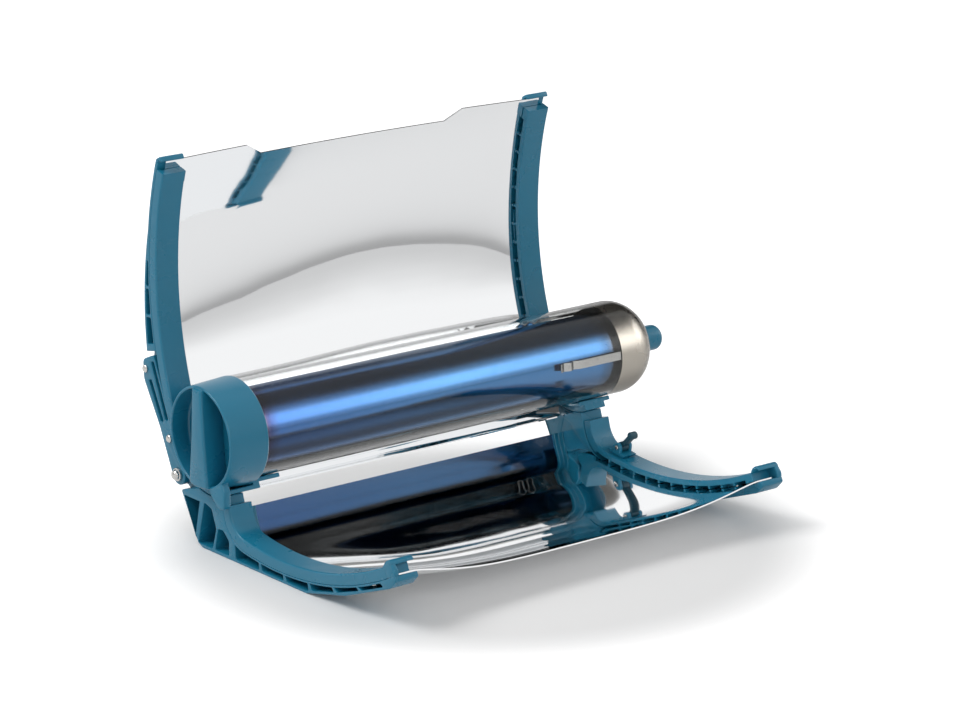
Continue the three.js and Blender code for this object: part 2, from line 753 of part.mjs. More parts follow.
function hingeArm(name, side) {
  const lug = arcPoints(armLugRadius, 90, 270, lugSteps);
  const outline = [...armOutline(0), ...lug].map(onArm);
  const frontSlot = [
    [slotStart, slotFrontAcross - slotWidth / 2],
    [slotFrontEnd, slotFrontAcross - slotWidth / 2],
    [slotFrontEnd, slotFrontAcross + slotWidth / 2],
    [slotStart, slotFrontAcross + slotWidth / 2],
  ].map(onArm);
  const backSlot = [
    [slotStart, slotBackAcross - slotWidth / 2],
    [slotBackEnd, slotBackAcross + slotBackFlare - slotWidth / 2],
    [slotBackEnd, slotBackAcross + slotBackFlare + slotWidth / 2],
    [slotStart, slotBackAcross + slotWidth / 2],
  ].map(onArm);
  const plate = prism(outline, across(side, 0), across(side, armThickness));
  const slots = [frontSlot, backSlot].map((slot) =>
    prism(slot, across(side, -overrun), across(side, armThickness + overrun)));
  const pivot = rod(rodRadius + fitGap, across(side, -overrun), across(side, armThickness + overrun));
  const holes = armScrews.map(onArm).map(([y, z]) =>
    rod(screwHole, across(side, -overrun), across(side, armThickness + overrun)).translate([0, y, z]));
  const cutters = [...slots, pivot.translate([0, hinge[0], hinge[1]]), ...holes];
  return piece(name, cutAll(plate, cutters), tealPlastic);
}

// Where a screw's head sits behind the upper rib: in a pocket, or behind the plain rim
function upperHeadSeat(cell, side) {
  const station = screwStation(upperCurve, upperStripFirst, cell);
  const wall = station.z < upperCellTopZ ? upperCellWall : rimDepth;
  const depth = ribTopDepth + wall + fitGap;
  const [[y, z]] = offset([station], depth);
  const place = new THREE.Vector3(across(side, screwInset), y, z);
  return { place, direction: new THREE.Vector3(0, station.ny, station.nz), depth };
}

function upperRib(name, side) {
  const root = stationAtZ(trussRootZ);
  const rim = stretch(upperCurve, 0, root.s);
  const inner = offset(rim, ribTopDepth);
  const back = rim.map((station) => offset([station], backDepthAt(station.z))[0]).reverse();
  const tipBack = ribTopDepth + rimDepth;
  const tipOver = tipHookClear + tipHookWall;
  const hookOver = [
    [tipHookClear, ribTopDepth],
    [tipHookClear, tipHookFront],
    [tipOver - tipHookCorner / 2, tipHookFront],
    [tipOver, tipHookFront + tipHookCorner / 2],
    [tipOver, tipBack - tipHookCorner],
    [tipOver - tipHookCorner, tipBack],
  ].map(([ahead, depth]) => aheadOf(upperCurve[0], -ahead, -depth));
  const outline = [...inner.slice().reverse(), ...hookOver, ...back.slice(0, -1).reverse()];
  const body = prism(outline, across(side, 0), across(side, ribWidth));
  const tongueFrom = armThickness + fitGap;
  const tongueOutline = [
    ...armOutline(overrun),
    [tongueRootLength, armWaist - overrun],
    [tongueRootLength, -armFront + overrun],
  ].map(onArm);
  const tongue = prism(tongueOutline, across(side, tongueFrom), across(side, ribWidth));
  const bridge = prism([
    inner[inner.length - 1],
    back[0],
    onArm([armHeelLength, armHeel - overrun]),
    onArm([armHeelLength, -armFront + overrun]),
  ], across(side, tongueFrom), across(side, ribWidth));
  const pitch = (upperCellTopZ - upperCellRootZ) / upperCells;
  const pockets = [];
  for (let i = 0; i < upperCells; i += 1) {
    const top = upperCellTopZ - pitch * i;
    const ends = [stationAtZ(top), stationAtZ(top - pitch + upperCellWall)];
    const near = offset(ends, ribTopDepth + upperCellWall);
    const far = ends.map((end) => offset([end], backDepthAt(end.z) - upperCellWall)[0]).reverse();
    pockets.push(prism([...near, ...far], across(side, -overrun), across(side, ribWidth - webThickness)));
  }
  const bores = stripBores(upperCurve, upperStripFirst, upperScrewCells, side);
  const limit = prism(
    band(upperCurve, ribTopDepth + rimDepth + overrun, ribTopDepth + trussDepth * 2),
    across(side, -overrun),
    across(side, ribWidth + overrun),
  );
  const holeLength = [across(side, tongueFrom - overrun), across(side, ribWidth - webThickness)];
  const holes = armScrews.map(onArm).map(([y, z]) => rod(screwHole, ...holeLength).translate([0, y, z]));
  const whole = joinAll([body, tongue, bridge]);
  const headRadius = screwHeadRadius + fitGap;
  const wells = upperScrewCells.map((cell) => {
    const { place, direction } = upperHeadSeat(cell, side);
    return boreSolid(headRadius, place, direction, fitGap, trussDepth);
  });
  const cutters = [...pockets, ...bores.map((bore) => bore.subtract(limit)), ...wells, ...holes];
  return piece(name, cutAll(whole, cutters), tealPlastic);
}

function upperStrip(name, side) {
  const strip = stripSolid(upperCurve, upperStripFirst, upperLength, upperScrewCells, side);
  return piece(name, strip, tealPlastic);
}

function upperMirror() {
  const far = sheetDepth + sheetThickness;
  const clamped = stretch(upperSheetCurve, 0, upperLength);
  const wholeWidth = [across(sides.left, sheetInset), across(sides.right, sheetInset)];
  const wide = prism(band(clamped, sheetDepth, far), ...wholeWidth);
  const inner = ribWidth + sheetClear;
  const free = stretch(upperSheetCurve, 0, upperSheetCurve[upperSheetCurve.length - 1].s);
  const narrow = prism(band(free, sheetDepth, far), across(sides.left, inner), across(sides.right, inner));
  const notch = prismAlongY([
    [ribMiddleX - notchBottomHalf, upperTipZ - notchDepth],
    [ribMiddleX + notchBottomHalf, upperTipZ - notchDepth],
    [ribMiddleX + notchTopHalf, upperTipZ],
    [ribMiddleX + notchTopHalf, upperTipZ + notchDepth],
    [ribMiddleX - notchTopHalf, upperTipZ + notchDepth],
    [ribMiddleX - notchTopHalf, upperTipZ],
  ], 0, upperCentreY + upperRadius + ribTopDepth + trussDepth);
  const bores = Object.values(sides).flatMap((side) =>
    stripBores(upperCurve, upperStripFirst, upperScrewCells, side));
  return piece('upper_mirror', cutAll(wide.add(narrow), [notch, ...bores]), mirrorSheet);
}

// Fasteners of both wings
function lowerScrews(sideName) {
  const side = sides[sideName];
  return lowerScrewCells.map((cell, i) => {
    const station = screwStation(lowerCurve, lowerStripFirst, cell);
    const [[y, z]] = offset([station], ribTopDepth + lowerTopWall + fitGap);
    const shaft = ribTopDepth + lowerTopWall + fitGap - flangeWall - screwTipGap;
    const place = new THREE.Vector3(across(side, screwInset), y, z);
    const direction = new THREE.Vector3(0, station.ny, station.nz);
    return screw(`lower_strip_screw_${sideName}_${i + 1}`, place, direction, shaft);
  });
}

function upperScrews(sideName) {
  return upperScrewCells.map((cell, i) => {
    const { place, direction, depth } = upperHeadSeat(cell, sides[sideName]);
    const shaft = depth - flangeWall - screwTipGap;
    return screw(`upper_strip_screw_${sideName}_${i + 1}`, place, direction, shaft);
  });
}

function armScrewPieces(sideName) {
  const side = sides[sideName];
  const outward = new THREE.Vector3(-side.inward, 0, 0);
  const shaft = ribWidth - webThickness - screwTipGap;
  return armScrews.map(onArm).map(([y, z], i) => {
    const place = new THREE.Vector3(across(side, -fitGap), y, z);
    return screw(`arm_screw_${sideName}_${i + 1}`, place, outward, shaft);
  });
}

// Hinge rod with its sleeve and domed end nuts
function hingeRod() {
  const left = across(sides.left, -rodEnd);
  const right = across(sides.right, -rodEnd);
  const body = piece('hinge_rod', rod(rodRadius, left, right, smallSegments), steel);
  const sleeveInner = rodRadius + fitGap;
  const sleeve = piece('hinge_sleeve', ring(
    sleeveInner,
    sleeveInner + sleeveWall,
    across(sides.left, ribWidth + fitGap),
    across(sides.right, ribWidth + fitGap),
    smallSegments,
  ), steel);
  const nutProfile = [
    [0, rodRadius + fitGap],
    [0, nutRadius],
    ...nutDomeShares.map(([along, out]) => [nutLength * along, nutRadius * out]),
    [nutLength, 0],
    [rodEnd, 0],
    [rodEnd, rodRadius + fitGap],
    [0, rodRadius + fitGap],
  ];
  const nuts = Object.entries(sides).map(([sideName, side]) => {
    const start = across(side, -fitGap);
    const profile = nutProfile.map(([x, radius]) => [start - side.inward * x, radius]);
    return piece(`hinge_nut_${sideName}`, turned(profile, smallSegments), steel);
  });
  const pieces = [body, sleeve, ...nuts];
  pieces.forEach((mesh) => mesh.position.set(0, hinge[0], hinge[1]));
  return pieces;
}

// Glass tube and what it holds
const domeCentreX = domeEndX - domeLength;
const absorberEndX = domeEndX - domeSpacing;
const absorberCentreX = absorberEndX - absorberRadius;

// Half a meridian of a dome, from the axis to the rim or back, as [x, radius] points
function dome(centreX, radius, fromShare = 0, length = radius) {
  const start = fromShare * 90;
  const flat = length / radius;
  return arcPoints(radius, start, 90, domeSegments).map(([x, r]) => [centreX + x * flat, Math.max(0, r)]);
}

function outerGlass() {
  const tipShare = asin(tipRadius / glassRadius) / 90;
  const inner = glassRadius - glassWall;
  const tipEndX = domeEndX + tipLength;
  const profile = [
    [tipEndX, 0],
    [tipEndX - tipRadius * tipRoundShares[0], tipRadius * tipRoundShares[1]],
    ...dome(domeCentreX, glassRadius, tipShare, domeLength),
    [mouthX, glassRadius],
    [mouthX, inner],
    ...dome(domeCentreX, inner, 0, domeLength - glassWall).reverse(),
  ];
  return piece('outer_glass', turned(profile), clearGlass);
}

function absorberTube() {
  const inner = absorberRadius - absorberWall;
  const profile = [
    ...dome(absorberCentreX, absorberRadius),
    [mouthX, absorberRadius],
    [mouthX, inner],
    ...dome(absorberCentreX, inner).reverse(),
  ];
  return piece('absorber_tube', turned(profile), absorberCoat);
}

function mouthRing() {
  const outer = glassRadius - glassWall - fitGap;
  const solid = ring(absorberRadius + fitGap, outer, mouthX, mouthX + mouthRingLength);
  return piece('tube_mouth_ring', solid, clearGlass);
}

function tipProtector() {
  const bore = tipRadius + fitGap;
  const seat = glassRadius + fitGap;
  const onDome = (radius) => domeCentreX + (domeLength + fitGap) * Math.sqrt(1 - (radius / seat) ** 2);
  const end = domeEndX + protectorLength;
  const profile = [
    [onDome(bore), bore],
    [onDome(protectorRadius), protectorRadius],
    ...protectorRoundShares.map(([along, out]) => [end - protectorRadius * along, protectorRadius * out]),
    [end, 0],
    [domeEndX + tipLength + protectorWall, 0],
    [domeEndX + tipLength + protectorWall, bore],
    [onDome(bore), bore],
  ];
  return piece('tip_protector', turned(profile, tipSegments), tealPlastic);
}

// Spring clip that centres the inner tube's dome: a hub and three legs that run along the outer
// glass and end in a wave
function supportClip() {
  const hubRadius = absorberRadius + fitGap;
  const runRadius = glassRadius - glassWall - clipGlassGap - clipThickness;
  const endX = absorberCentreX - clipLength;
  const legLine = (lift) => [
    ...arcPoints(hubRadius + lift, clipHubAngle, clipLeaveAngle, domeSegments)
      .map(([x, r]) => [absorberCentreX + x, r]),
    [absorberCentreX + clipRise, runRadius + lift],
    ...clipWaveShares.map(([along, dip]) => [endX + clipEnd * along, runRadius + lift - clipWave * dip]),
  ];
  const outline = [...legLine(0), ...legLine(clipThickness).reverse()];
  const legs = [];
  for (let i = 0; i < clipLegs; i += 1) {
    const leg = prismAlongY(outline, -clipWidth / 2, clipWidth / 2);
    const turn = clipFirstAngle - 90 + (360 / clipLegs) * i;
    legs.push(leg.rotate([turn, 0, 0]));
  }
  const hubStart = absorberEndX + fitGap / 2;
  const hub = rod(clipHubRadius, hubStart, absorberEndX + fitGap + clipThickness, smallSegments);
  const keepOut = turned([
    ...dome(absorberCentreX, absorberRadius + fitGap),
    [mouthX, absorberRadius + fitGap],
    [mouthX, 0],
  ]);
  return piece('support_clip', joinAll([...legs, hub]).subtract(keepOut), steel);
}

function getterRing() {
  const x = absorberEndX + fitGap * 2 + clipThickness;
  const solid = ring(getterRadius - getterWall, getterRadius, x, x + getterThickness, smallSegments);
  return piece('getter_ring', solid, steel);
}

// Handle cap, gasket, plug and food tray
const capFrontX = mouthX - capDepth;
const capRearX = mouthX + capLap;
const capWallX = mouthX - sealThickness - fitGap * 2;
const recessX = capWallX - capEndWall;
const capRearRadius = glassRadius + fitGap + capSkirtWall;
const capFrontRadius = glassRadius + capFlare;

function handleCap() {
  const bore = glassRadius + fitGap;
  const shell = turned([
    [capFrontX, 0],
    [capFrontX, capFrontRadius - capEdge],
    [capFrontX + capEdge, capFrontRadius],
    [capRearX - capEdge, capRearRadius],
    [capRearX, capRearRadius - capEdge],
    [capRearX, bore],
    [capWallX, bore],
    [capWallX, 0],
  ]);
  const recessRadius = capFrontRadius - capRimWall;
  const recess = rod(recessRadius, capFrontX - overrun, recessX, turnSegments);
  const gripLength = [recessX - gripDepth, recessX + overrun];
  const bar = prism([
    [-gripTopHalf, capFrontRadius],
    [-gripMiddleHalf, 0],
    [-gripBottomHalf, -capFrontRadius],
    [gripBottomHalf, -capFrontRadius],
    [gripMiddleHalf, 0],
    [gripTopHalf, capFrontRadius],
  ], ...gripLength);
  const grip = bar.intersect(rod(capFrontRadius - capEdge, ...gripLength, turnSegments));
  const tongueRoot = recessRadius + capRimWall / 3;
  const tongue = prism([
    ...arcPoints(tongueRoot, tongueRearAngle, tongueFrontAngle, seatSteps),
    polar(tongueKneeRadius, tongueKneeAngle),
    polar(tongueRadius + overrun, tongueEndFrontAngle),
    polar(tongueRadius, tongueEndRearAngle),
  ], capFrontX, capFrontX + tongueThickness);
  const body = shell.subtract(recess).add(grip).add(tongue);
  return piece('handle_cap', body, tealPlastic);
}

function capSeal() {
  const lipOuter = absorberRadius - absorberWall - fitGap;
  const inner = lipOuter - sealLip;
  const start = capWallX + fitGap;
  const profile = [
    [start, inner],
    [start, glassRadius],
    [start + sealThickness, glassRadius],
    [start + sealThickness, lipOuter],
    [start + sealThickness + sealLength, lipOuter],
    [start + sealThickness + sealLength, inner],
    [start, inner],
  ];
  return piece('cap_seal', turned(profile), silicone);
}

const plugStartX = capWallX + fitGap;
const plugEndX = plugStartX + plugLength;
const rivetPlaces = [-rivetSpacing / 2, rivetSpacing / 2].map((y) => [y, -rivetDrop]);

function capPlug() {
  const body = rod(plugRadius, plugStartX, plugEndX, turnSegments);
  const depth = [plugEndX - rivetDepth - fitGap, plugEndX + overrun];
  const holes = rivetPlaces.map(([y, z]) => rod(rivetRadius + fitGap, ...depth).translate([0, y, z]));
  return piece('cap_plug', cutAll(body, holes), darkPlastic);
}

function trayPan() {
  const start = plugEndX + fitGap;
  const trayLength = domeEndX - mouthX - trayShortfall;
  const inner = trayRadius - trayWall;
  const end = start + trayLength;
  const trough = ringSector(inner, trayRadius, trayArcStart, trayArcEnd, start, end, traySegments);
  const endOutline = arcPoints(trayRadius - trayWall / 2, trayArcStart, trayArcEnd, traySegments);
  const nearEnd = prism(endOutline, start, start + trayWall);
  const farEnd = prism(endOutline, end - trayWall, end);
  const depth = [start - overrun, start + overrun + trayWall];
  const holes = rivetPlaces.map(([y, z]) => rod(rivetRadius + fitGap, ...depth).translate([0, y, z]));
  return piece('tray_pan', cutAll(joinAll([trough, nearEnd, farEnd]), holes), steel);
}

function trayRivets() {
  const headX = plugEndX + fitGap * 2 + trayWall;
  return rivetPlaces.map(([y, z], i) => {
    const mesh = piece(`tray_rivet_${i + 1}`, turned([
      [plugEndX - rivetDepth, 0],
      [plugEndX - rivetDepth, rivetRadius],
      [headX, rivetRadius],
      [headX, rivetHead],
      [headX + rivetHeadHeight, rivetHeadFlat],
      [headX + rivetHeadHeight, 0],
    ], smallSegments), steel);
    mesh.position.set(0, y, z);
    return mesh;
  });
}

// Latch: a base with two ears on the lower right strip, a pin and a lever with a knob
const latchX = across(sides.right, ribWidth / 2);
const latchStation = arcStations(neckCentre, neckRadius, latchPlaceAngle, latchPlaceAngle, 1)[0];
const latchUp = new THREE.Vector2(-latchStation.ny, -latchStation.nz);
const latchAlong = new THREE.Vector2(latchUp.y, -latchUp.x);
const onLatch = ([along, up]) => [
  latchStation.y + latchAlong.x * along + latchUp.x * up,
  latchStation.z + latchAlong.y * along + latchUp.y * up,
];
const latchPin = onLatch([-latchBaseLength / 2, latchPinHeight]);

function latchParts() {
  const clear = latchBaseWidth / 2;
  const keepOut = prism([
    ...offset(lowerCurve, -fitGap),
    ...offset(lowerCurve, stripThickness).reverse(),
  ], latchX - ribWidth, latchX + ribWidth);
  const foot = prism([
    [-latchBaseLength, -latchBaseHeight],
    [0, -latchBaseHeight],
    [0, latchBaseHeight],
    [-latchBaseLength, latchBaseHeight],
  ].map(onLatch), latchX - clear, latchX + clear).subtract(keepOut);
  const ear = (from, to) => prism([
    ...arcPoints(latchEarRadius, 0, 180, earSteps).map(([along, up]) =>
      onLatch([along - latchBaseLength / 2, up + latchPinHeight])),
    onLatch([-latchBaseLength / 2 - latchEarRadius, latchBaseHeight / 2]),
    onLatch([-latchBaseLength / 2 + latchEarRadius, latchBaseHeight / 2]),
  ], from, to);
  const ears = [
    ear(latchX - clear, latchX - clear + latchEarWidth),
    ear(latchX + clear - latchEarWidth, latchX + clear),
  ];
  const pinHole = rod(latchPinRadius + fitGap, latchX - ribWidth, latchX + ribWidth, smallSegments)
    .translate([0, latchPin[0], latchPin[1]]);
  const base = piece('latch_base', joinAll([foot, ...ears]).subtract(pinHole), tealPlastic);

  const pin = piece('latch_pin', rod(latchPinRadius, latchX - clear - latchPinOverhang,
    latchX + clear + latchPinOverhang, smallSegments), steel);
  pin.position.set(0, latchPin[0], latchPin[1]);

  const hub = rod(latchHubRadius, -latchLeverWidth / 2, latchLeverWidth / 2, smallSegments);
  const blade = prism([
    [0, -latchLeverThickness / 2],
    [latchLeverLength, -latchLeverThickness / 2],
    [latchLeverLength, latchLeverThickness / 2],
    [0, latchLeverThickness / 2],
  ], -latchLeverWidth / 2, latchLeverWidth / 2);
  const knob = rod(latchKnobRadius, -latchLeverWidth / 2, latchLeverWidth / 2, smallSegments)
    .translate([0, latchLeverLength, 0]);
  const leverHole = rod(latchPinRadius + fitGap, -latchLeverWidth, latchLeverWidth, smallSegments);
  const lever = piece('latch_lever', joinAll([hub, blade, knob]).subtract(leverHole), darkPlastic);
  lever.position.set(latchX, latchPin[0], latchPin[1]);
  lever.rotation.x = radians(latchLeverAngle);
  return { base, pin, lever };
}

// Assembly
const group = (...meshes) => {
  const holder = new THREE.Group();
  holder.add(...meshes);
  return holder;
};

const latch = latchParts();
const base = group(
  lowerRib('lower_rib_left', sides.left),
  lowerRib('lower_rib_right', sides.right),
  lowerStrip('lower_strip_left', sides.left),
  lowerStrip('lower_strip_right', sides.right),
  lowerMirror(),
  ...saddles(),
  ...hingeRod(),
  ...lowerScrews('left'),
  ...lowerScrews('right'),
  latch.base,
  latch.pin,
);
const upperWing = group(
  upperRib('upper_rib_left', sides.left),
  upperRib('upper_rib_right', sides.right),
  upperStrip('upper_strip_left', sides.left),
  upperStrip('upper_strip_right', sides.right),
  hingeArm('hinge_arm_left', sides.left),
  hingeArm('hinge_arm_right', sides.right),
  upperMirror(),
  ...upperScrews('left'),
  ...upperScrews('right'),
  ...armScrewPieces('left'),
  ...armScrewPieces('right'),
);
const glassTube = group(
  outerGlass(),
  absorberTube(),
  mouthRing(),
  tipProtector(),
  supportClip(),
  getterRing(),
);
const foodTray = group(handleCap(), capSeal(), capPlug(), trayPan(), ...trayRivets());
const oven = group(base, upperWing, glassTube, foodTray, group(latch.lever));

// The oven stands on the floor, with the origin under the middle of its box
const box = new THREE.Box3().setFromObject(oven, true);
const middle = box.getCenter(new THREE.Vector3());
oven.position.set(-middle.x, -middle.y, -box.min.z);
oven.name = 'tube_solar_oven';

export default oven;
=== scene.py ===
"""Looks of the tube solar oven: moulded teal stand, mirror wings, coated glass tube and food tray.

Sizes are in millimetres in the tube's own frame (X along the tube, Y and Z zero on its axis),
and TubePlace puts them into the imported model's frame, in metres.
"""

import json
import logging
import math
from dataclasses import dataclass, field
from enum import Enum
from typing import Callable, Iterable, NamedTuple, Sequence

import bmesh
import bpy
from mathutils import Euler, Matrix, Vector

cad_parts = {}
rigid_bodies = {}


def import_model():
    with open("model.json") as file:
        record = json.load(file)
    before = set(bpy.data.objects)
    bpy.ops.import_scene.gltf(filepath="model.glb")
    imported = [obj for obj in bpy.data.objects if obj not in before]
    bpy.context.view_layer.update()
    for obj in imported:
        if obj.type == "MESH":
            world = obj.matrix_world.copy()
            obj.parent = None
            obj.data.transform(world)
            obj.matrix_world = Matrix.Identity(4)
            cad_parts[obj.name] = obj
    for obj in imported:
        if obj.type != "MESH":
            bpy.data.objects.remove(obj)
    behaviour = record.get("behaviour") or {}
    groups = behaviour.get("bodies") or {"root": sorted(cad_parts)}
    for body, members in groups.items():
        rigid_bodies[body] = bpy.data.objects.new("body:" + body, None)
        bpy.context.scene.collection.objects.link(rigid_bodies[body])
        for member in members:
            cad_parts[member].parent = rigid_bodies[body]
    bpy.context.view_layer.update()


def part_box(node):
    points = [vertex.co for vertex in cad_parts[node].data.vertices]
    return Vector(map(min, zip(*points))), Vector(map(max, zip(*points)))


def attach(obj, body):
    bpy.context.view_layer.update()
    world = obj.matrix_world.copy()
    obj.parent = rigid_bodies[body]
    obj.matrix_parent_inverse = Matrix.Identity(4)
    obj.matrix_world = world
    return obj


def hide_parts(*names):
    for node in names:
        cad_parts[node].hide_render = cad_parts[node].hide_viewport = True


log = logging.getLogger("tube_oven")

Point2 = tuple[float, float]
Point3 = tuple[float, float, float]
Points = tuple[Point2, ...]
Colour = tuple[float, float, float, float]
Spot = tuple[Vector, Euler, Vector]
Loops = Sequence[Sequence[Sequence[float]]]
Socket = bpy.types.NodeSocket
Tree = bpy.types.NodeTree
Piece = bpy.types.Object
Material = bpy.types.Material
MM = 0.001
WHITE: Colour = (1.0, 1.0, 1.0, 1.0)


# Plain geometry


def polar(radius: float, degrees: float) -> Point2:
    """Point at a radius and an angle from +Y towards +Z."""
    angle = math.radians(degrees)
    return radius * math.cos(angle), radius * math.sin(angle)


def arc_points(radius: float, start: float, end: float, steps: int) -> list[Point2]:
    """Points along an arc round the origin, both ends included."""
    return [polar(radius, start + (end - start) * i / steps) for i in range(steps + 1)]


def arc_round(centre: Point2, reach: Point2, start: float, end: float, steps: int) -> list[Point2]:
    """Points along an arc round a centre, with a reach along each of the two directions."""
    return [(centre[0] + reach[0] * c, centre[1] + reach[1] * s) for c, s in arc_points(1.0, start, end, steps)]


def rounded(outline: Sequence[Point2], radius: float, steps: int = 4) -> list[Point2]:
    """Rounds an outline's sharp corners.

    Args:
        outline: Corners of a closed outline.
        radius: Length taken off each edge at a corner.
        steps: Parts of each rounded corner.

    Returns:
        The outline with a short curve at each sharp corner.
    """
    result: list[Point2] = []
    count = len(outline)
    for i in range(count):
        before, corner, after = (Vector(outline[k % count]) for k in (i - 1, i, i + 1))
        back, ahead = before - corner, after - corner
        if back.length < 1e-6 or ahead.length < 1e-6:
            continue
        turn = math.pi - back.angle(ahead)
        if turn < math.radians(18):
            result.append(tuple(corner))
            continue
        reach = min(radius, 0.42 * back.length, 0.42 * ahead.length)
        start, end = corner + back.normalized() * reach, corner + ahead.normalized() * reach
        for k in range(steps + 1):
            t = k / steps
            result.append(tuple(start * (1 - t) ** 2 + corner * 2 * t * (1 - t) + end * t * t))
    return result


def bar(start: float, end: float, radius: float) -> list[Point2]:
    """Profile of a round bar along X, as (x, radius) points."""
    return [(start, 0.0), (start, radius), (end, radius), (end, 0.0)]


def signed_area(outline: Sequence[Point2]) -> float:
    """Area of an outline, positive where it runs anticlockwise."""
    pairs = zip(outline, [*outline[1:], outline[0]])
    return sum(a[0] * b[1] - b[0] * a[1] for a, b in pairs) / 2


@dataclass(frozen=True)
class Station:
    """A place on the front face of a wing's strips, with its outward normal and run length."""

    y: float
    z: float
    ny: float
    nz: float
    s: float = 0.0

    def at(self, depth: float) -> Point2:
        """The point behind the front face at a depth."""
        return self.y + self.ny * depth, self.z + self.nz * depth

    def ahead(self, along: float, above: float) -> Point2:
        """The point ahead of this place along the curve's front end, and above its face."""
        return (self.y + self.nz * along - self.ny * above, self.z - self.ny * along - self.nz * above)


class WingCurve:
    """A wing's side curve, from its tip to its root."""

    def __init__(self, stations: Iterable[Station]) -> None:
        """Measures the stations along the curve."""
        self.stations: list[Station] = []
        run = 0.0
        for station in stations:
            if self.stations:
                last = self.stations[-1]
                run += math.hypot(station.y - last.y, station.z - last.z)
            self.stations.append(Station(station.y, station.z, station.ny, station.nz, run))

    @property
    def length(self) -> float:
        """Whole run length."""
        return self.stations[-1].s

    def at(self, s: float) -> Station:
        """The station at a run length."""
        i = 1
        while i < len(self.stations) - 1 and self.stations[i].s < s:
            i += 1
        a, b = self.stations[i - 1], self.stations[i]
        t = (s - a.s) / (b.s - a.s)
        ny, nz = a.ny + (b.ny - a.ny) * t, a.nz + (b.nz - a.nz) * t
        size = math.hypot(ny, nz)
        return Station(a.y + (b.y - a.y) * t, a.z + (b.z - a.z) * t, ny / size, nz / size, s)

    def stretch(self, start: float, end: float) -> list[Station]:
        """The stations between two run lengths, with both ends."""
        inside = [station for station in self.stations if start < station.s < end]
        return [self.at(start), *inside, self.at(end)]

    def side(self, start: float, end: float, depth: float) -> list[Point2]:
        """The line at a depth behind the front face."""
        return [station.at(depth) for station in self.stretch(start, end)]

    def band(self, start: float, end: float, near: float, far: float) -> list[Point2]:
        """The closed outline between two depths."""
        return [*self.side(start, end, near), *reversed(self.side(start, end, far))]


def arc_stations(centre: Point2, radius: float, start: float, end: float, steps: int) -> list[Station]:
    """Stations along an arc, with normals away from its centre."""
    normals = arc_points(1.0, start, end, steps)
    return [Station(centre[0] + radius * ny, centre[1] + radius * nz, ny, nz) for ny, nz in normals]


class Hand(Enum):
    """End of the oven: the cap's end or the tip's end."""

    LEFT = "left"
    RIGHT = "right"

    @property
    def outward(self) -> float:
        """Sign of the way out along X."""
        return -1.0 if self is Hand.LEFT else 1.0


@dataclass(frozen=True)
class Layout:
    """Sizes that several sub-assemblies share, in millimetres in the tube's frame."""

    gap: float = 0.3
    mouth_x: float = -150.5
    dome_end: float = 163.3
    cap_lap: float = 8.5
    glass_radius: float = 29.0
    rib_middle: float = -18.5
    rib_span: float = 287.0
    rib_width: float = 16.0
    strip_thickness: float = 5.4
    flange_wall: float = 3.3
    band_wall: float = 2.0
    ladder_pitch: float = 11.35
    ladder_wall: float = 1.5
    ladder_cells: int = 12
    end_block: float = 6.7
    sheet_thickness: float = 0.8
    sheet_inset: float = 5.0
    sheet_clear: float = 0.6
    web: float = 1.6
    truss_depth: float = 9.7
    cap_skirt_wall: float = 2.9
    saddle_seat_gap: float = 0.8
    saddle_wall: float = 2.6
    hinge_standoff: float = 15.5
    hinge_angle: float = -44.0
    rod_radius: float = 2.6
    boss_inset: float = 11.5
    screw_inset: float = 8.5

    @property
    def sheet_depth(self) -> float:
        """Depth of the mirror sheet's front face."""
        return self.strip_thickness + self.gap

    @property
    def rib_depth(self) -> float:
        """Depth of the ribs' front face."""
        return self.sheet_depth + self.sheet_thickness + self.gap

    @property
    def seat_radius(self) -> float:
        """Radius of the ribs' seat under the saddles."""
        skirt = self.gap + self.cap_skirt_wall + self.saddle_seat_gap
        return self.glass_radius + skirt + self.saddle_wall + self.gap

    @property
    def hinge(self) -> Point2:
        """The hinge axis."""
        return polar(self.glass_radius + self.hinge_standoff, self.hinge_angle)

    def across(self, hand: Hand, distance: float) -> float:
        """X at a distance from a rib's outer face towards the oven's middle."""
        half = self.rib_span / 2
        if hand is Hand.LEFT:
            return self.rib_middle - half + distance
        return self.rib_middle + half - distance

    def both(self, distance: float) -> Point2:
        """X at a distance from the left rib's outer face, and from the right rib's."""
        return self.across(Hand.LEFT, distance), self.across(Hand.RIGHT, distance)

    def faces(self, hand: Hand, *distances: float) -> list[float]:
        """X at each distance from a rib's outer face towards the oven's middle."""
        return [self.across(hand, distance) for distance in distances]

    def cell_start(self, first: float, index: float) -> float:
        """Run length at which a ladder cell starts."""
        return first + self.end_block + index * self.ladder_pitch


LAYOUT = Layout()


class TubePlace:
    """Puts millimetres of the tube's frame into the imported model's frame, in metres."""

    def __init__(self, mouth_x: float) -> None:
        """Reads the tube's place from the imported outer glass.

        Args:
            mouth_x: X of the glass mouth in the tube's frame.
        """
        low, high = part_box("outer_glass")
        shift = Vector((low[0] - mouth_x * MM, (low[1] + high[1]) / 2, (low[2] + high[2]) / 2))
        self.matrix = Matrix.Translation(shift) @ Matrix.Scale(MM, 4)

    def point(self, x: float, y: float, z: float) -> Vector:
        """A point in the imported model's frame."""
        return self.matrix @ Vector((x, y, z))


# Making objects


class Look(NamedTuple):
    """A material and a slot name."""

    material: Material
    slot: str


def link(name: str, data: bpy.types.ID) -> Piece:
    """A new object of the scene that carries the data."""
    made = bpy.data.objects.new(name, data)
    bpy.context.scene.collection.objects.link(made)
    return made


def land(name: str, mesh: bmesh.types.BMesh) -> Piece:
    """A new object from a mesh in the making, which is used up."""
    data = bpy.data.meshes.new(name)
    mesh.to_mesh(data)
    mesh.free()
    return link(name, data)


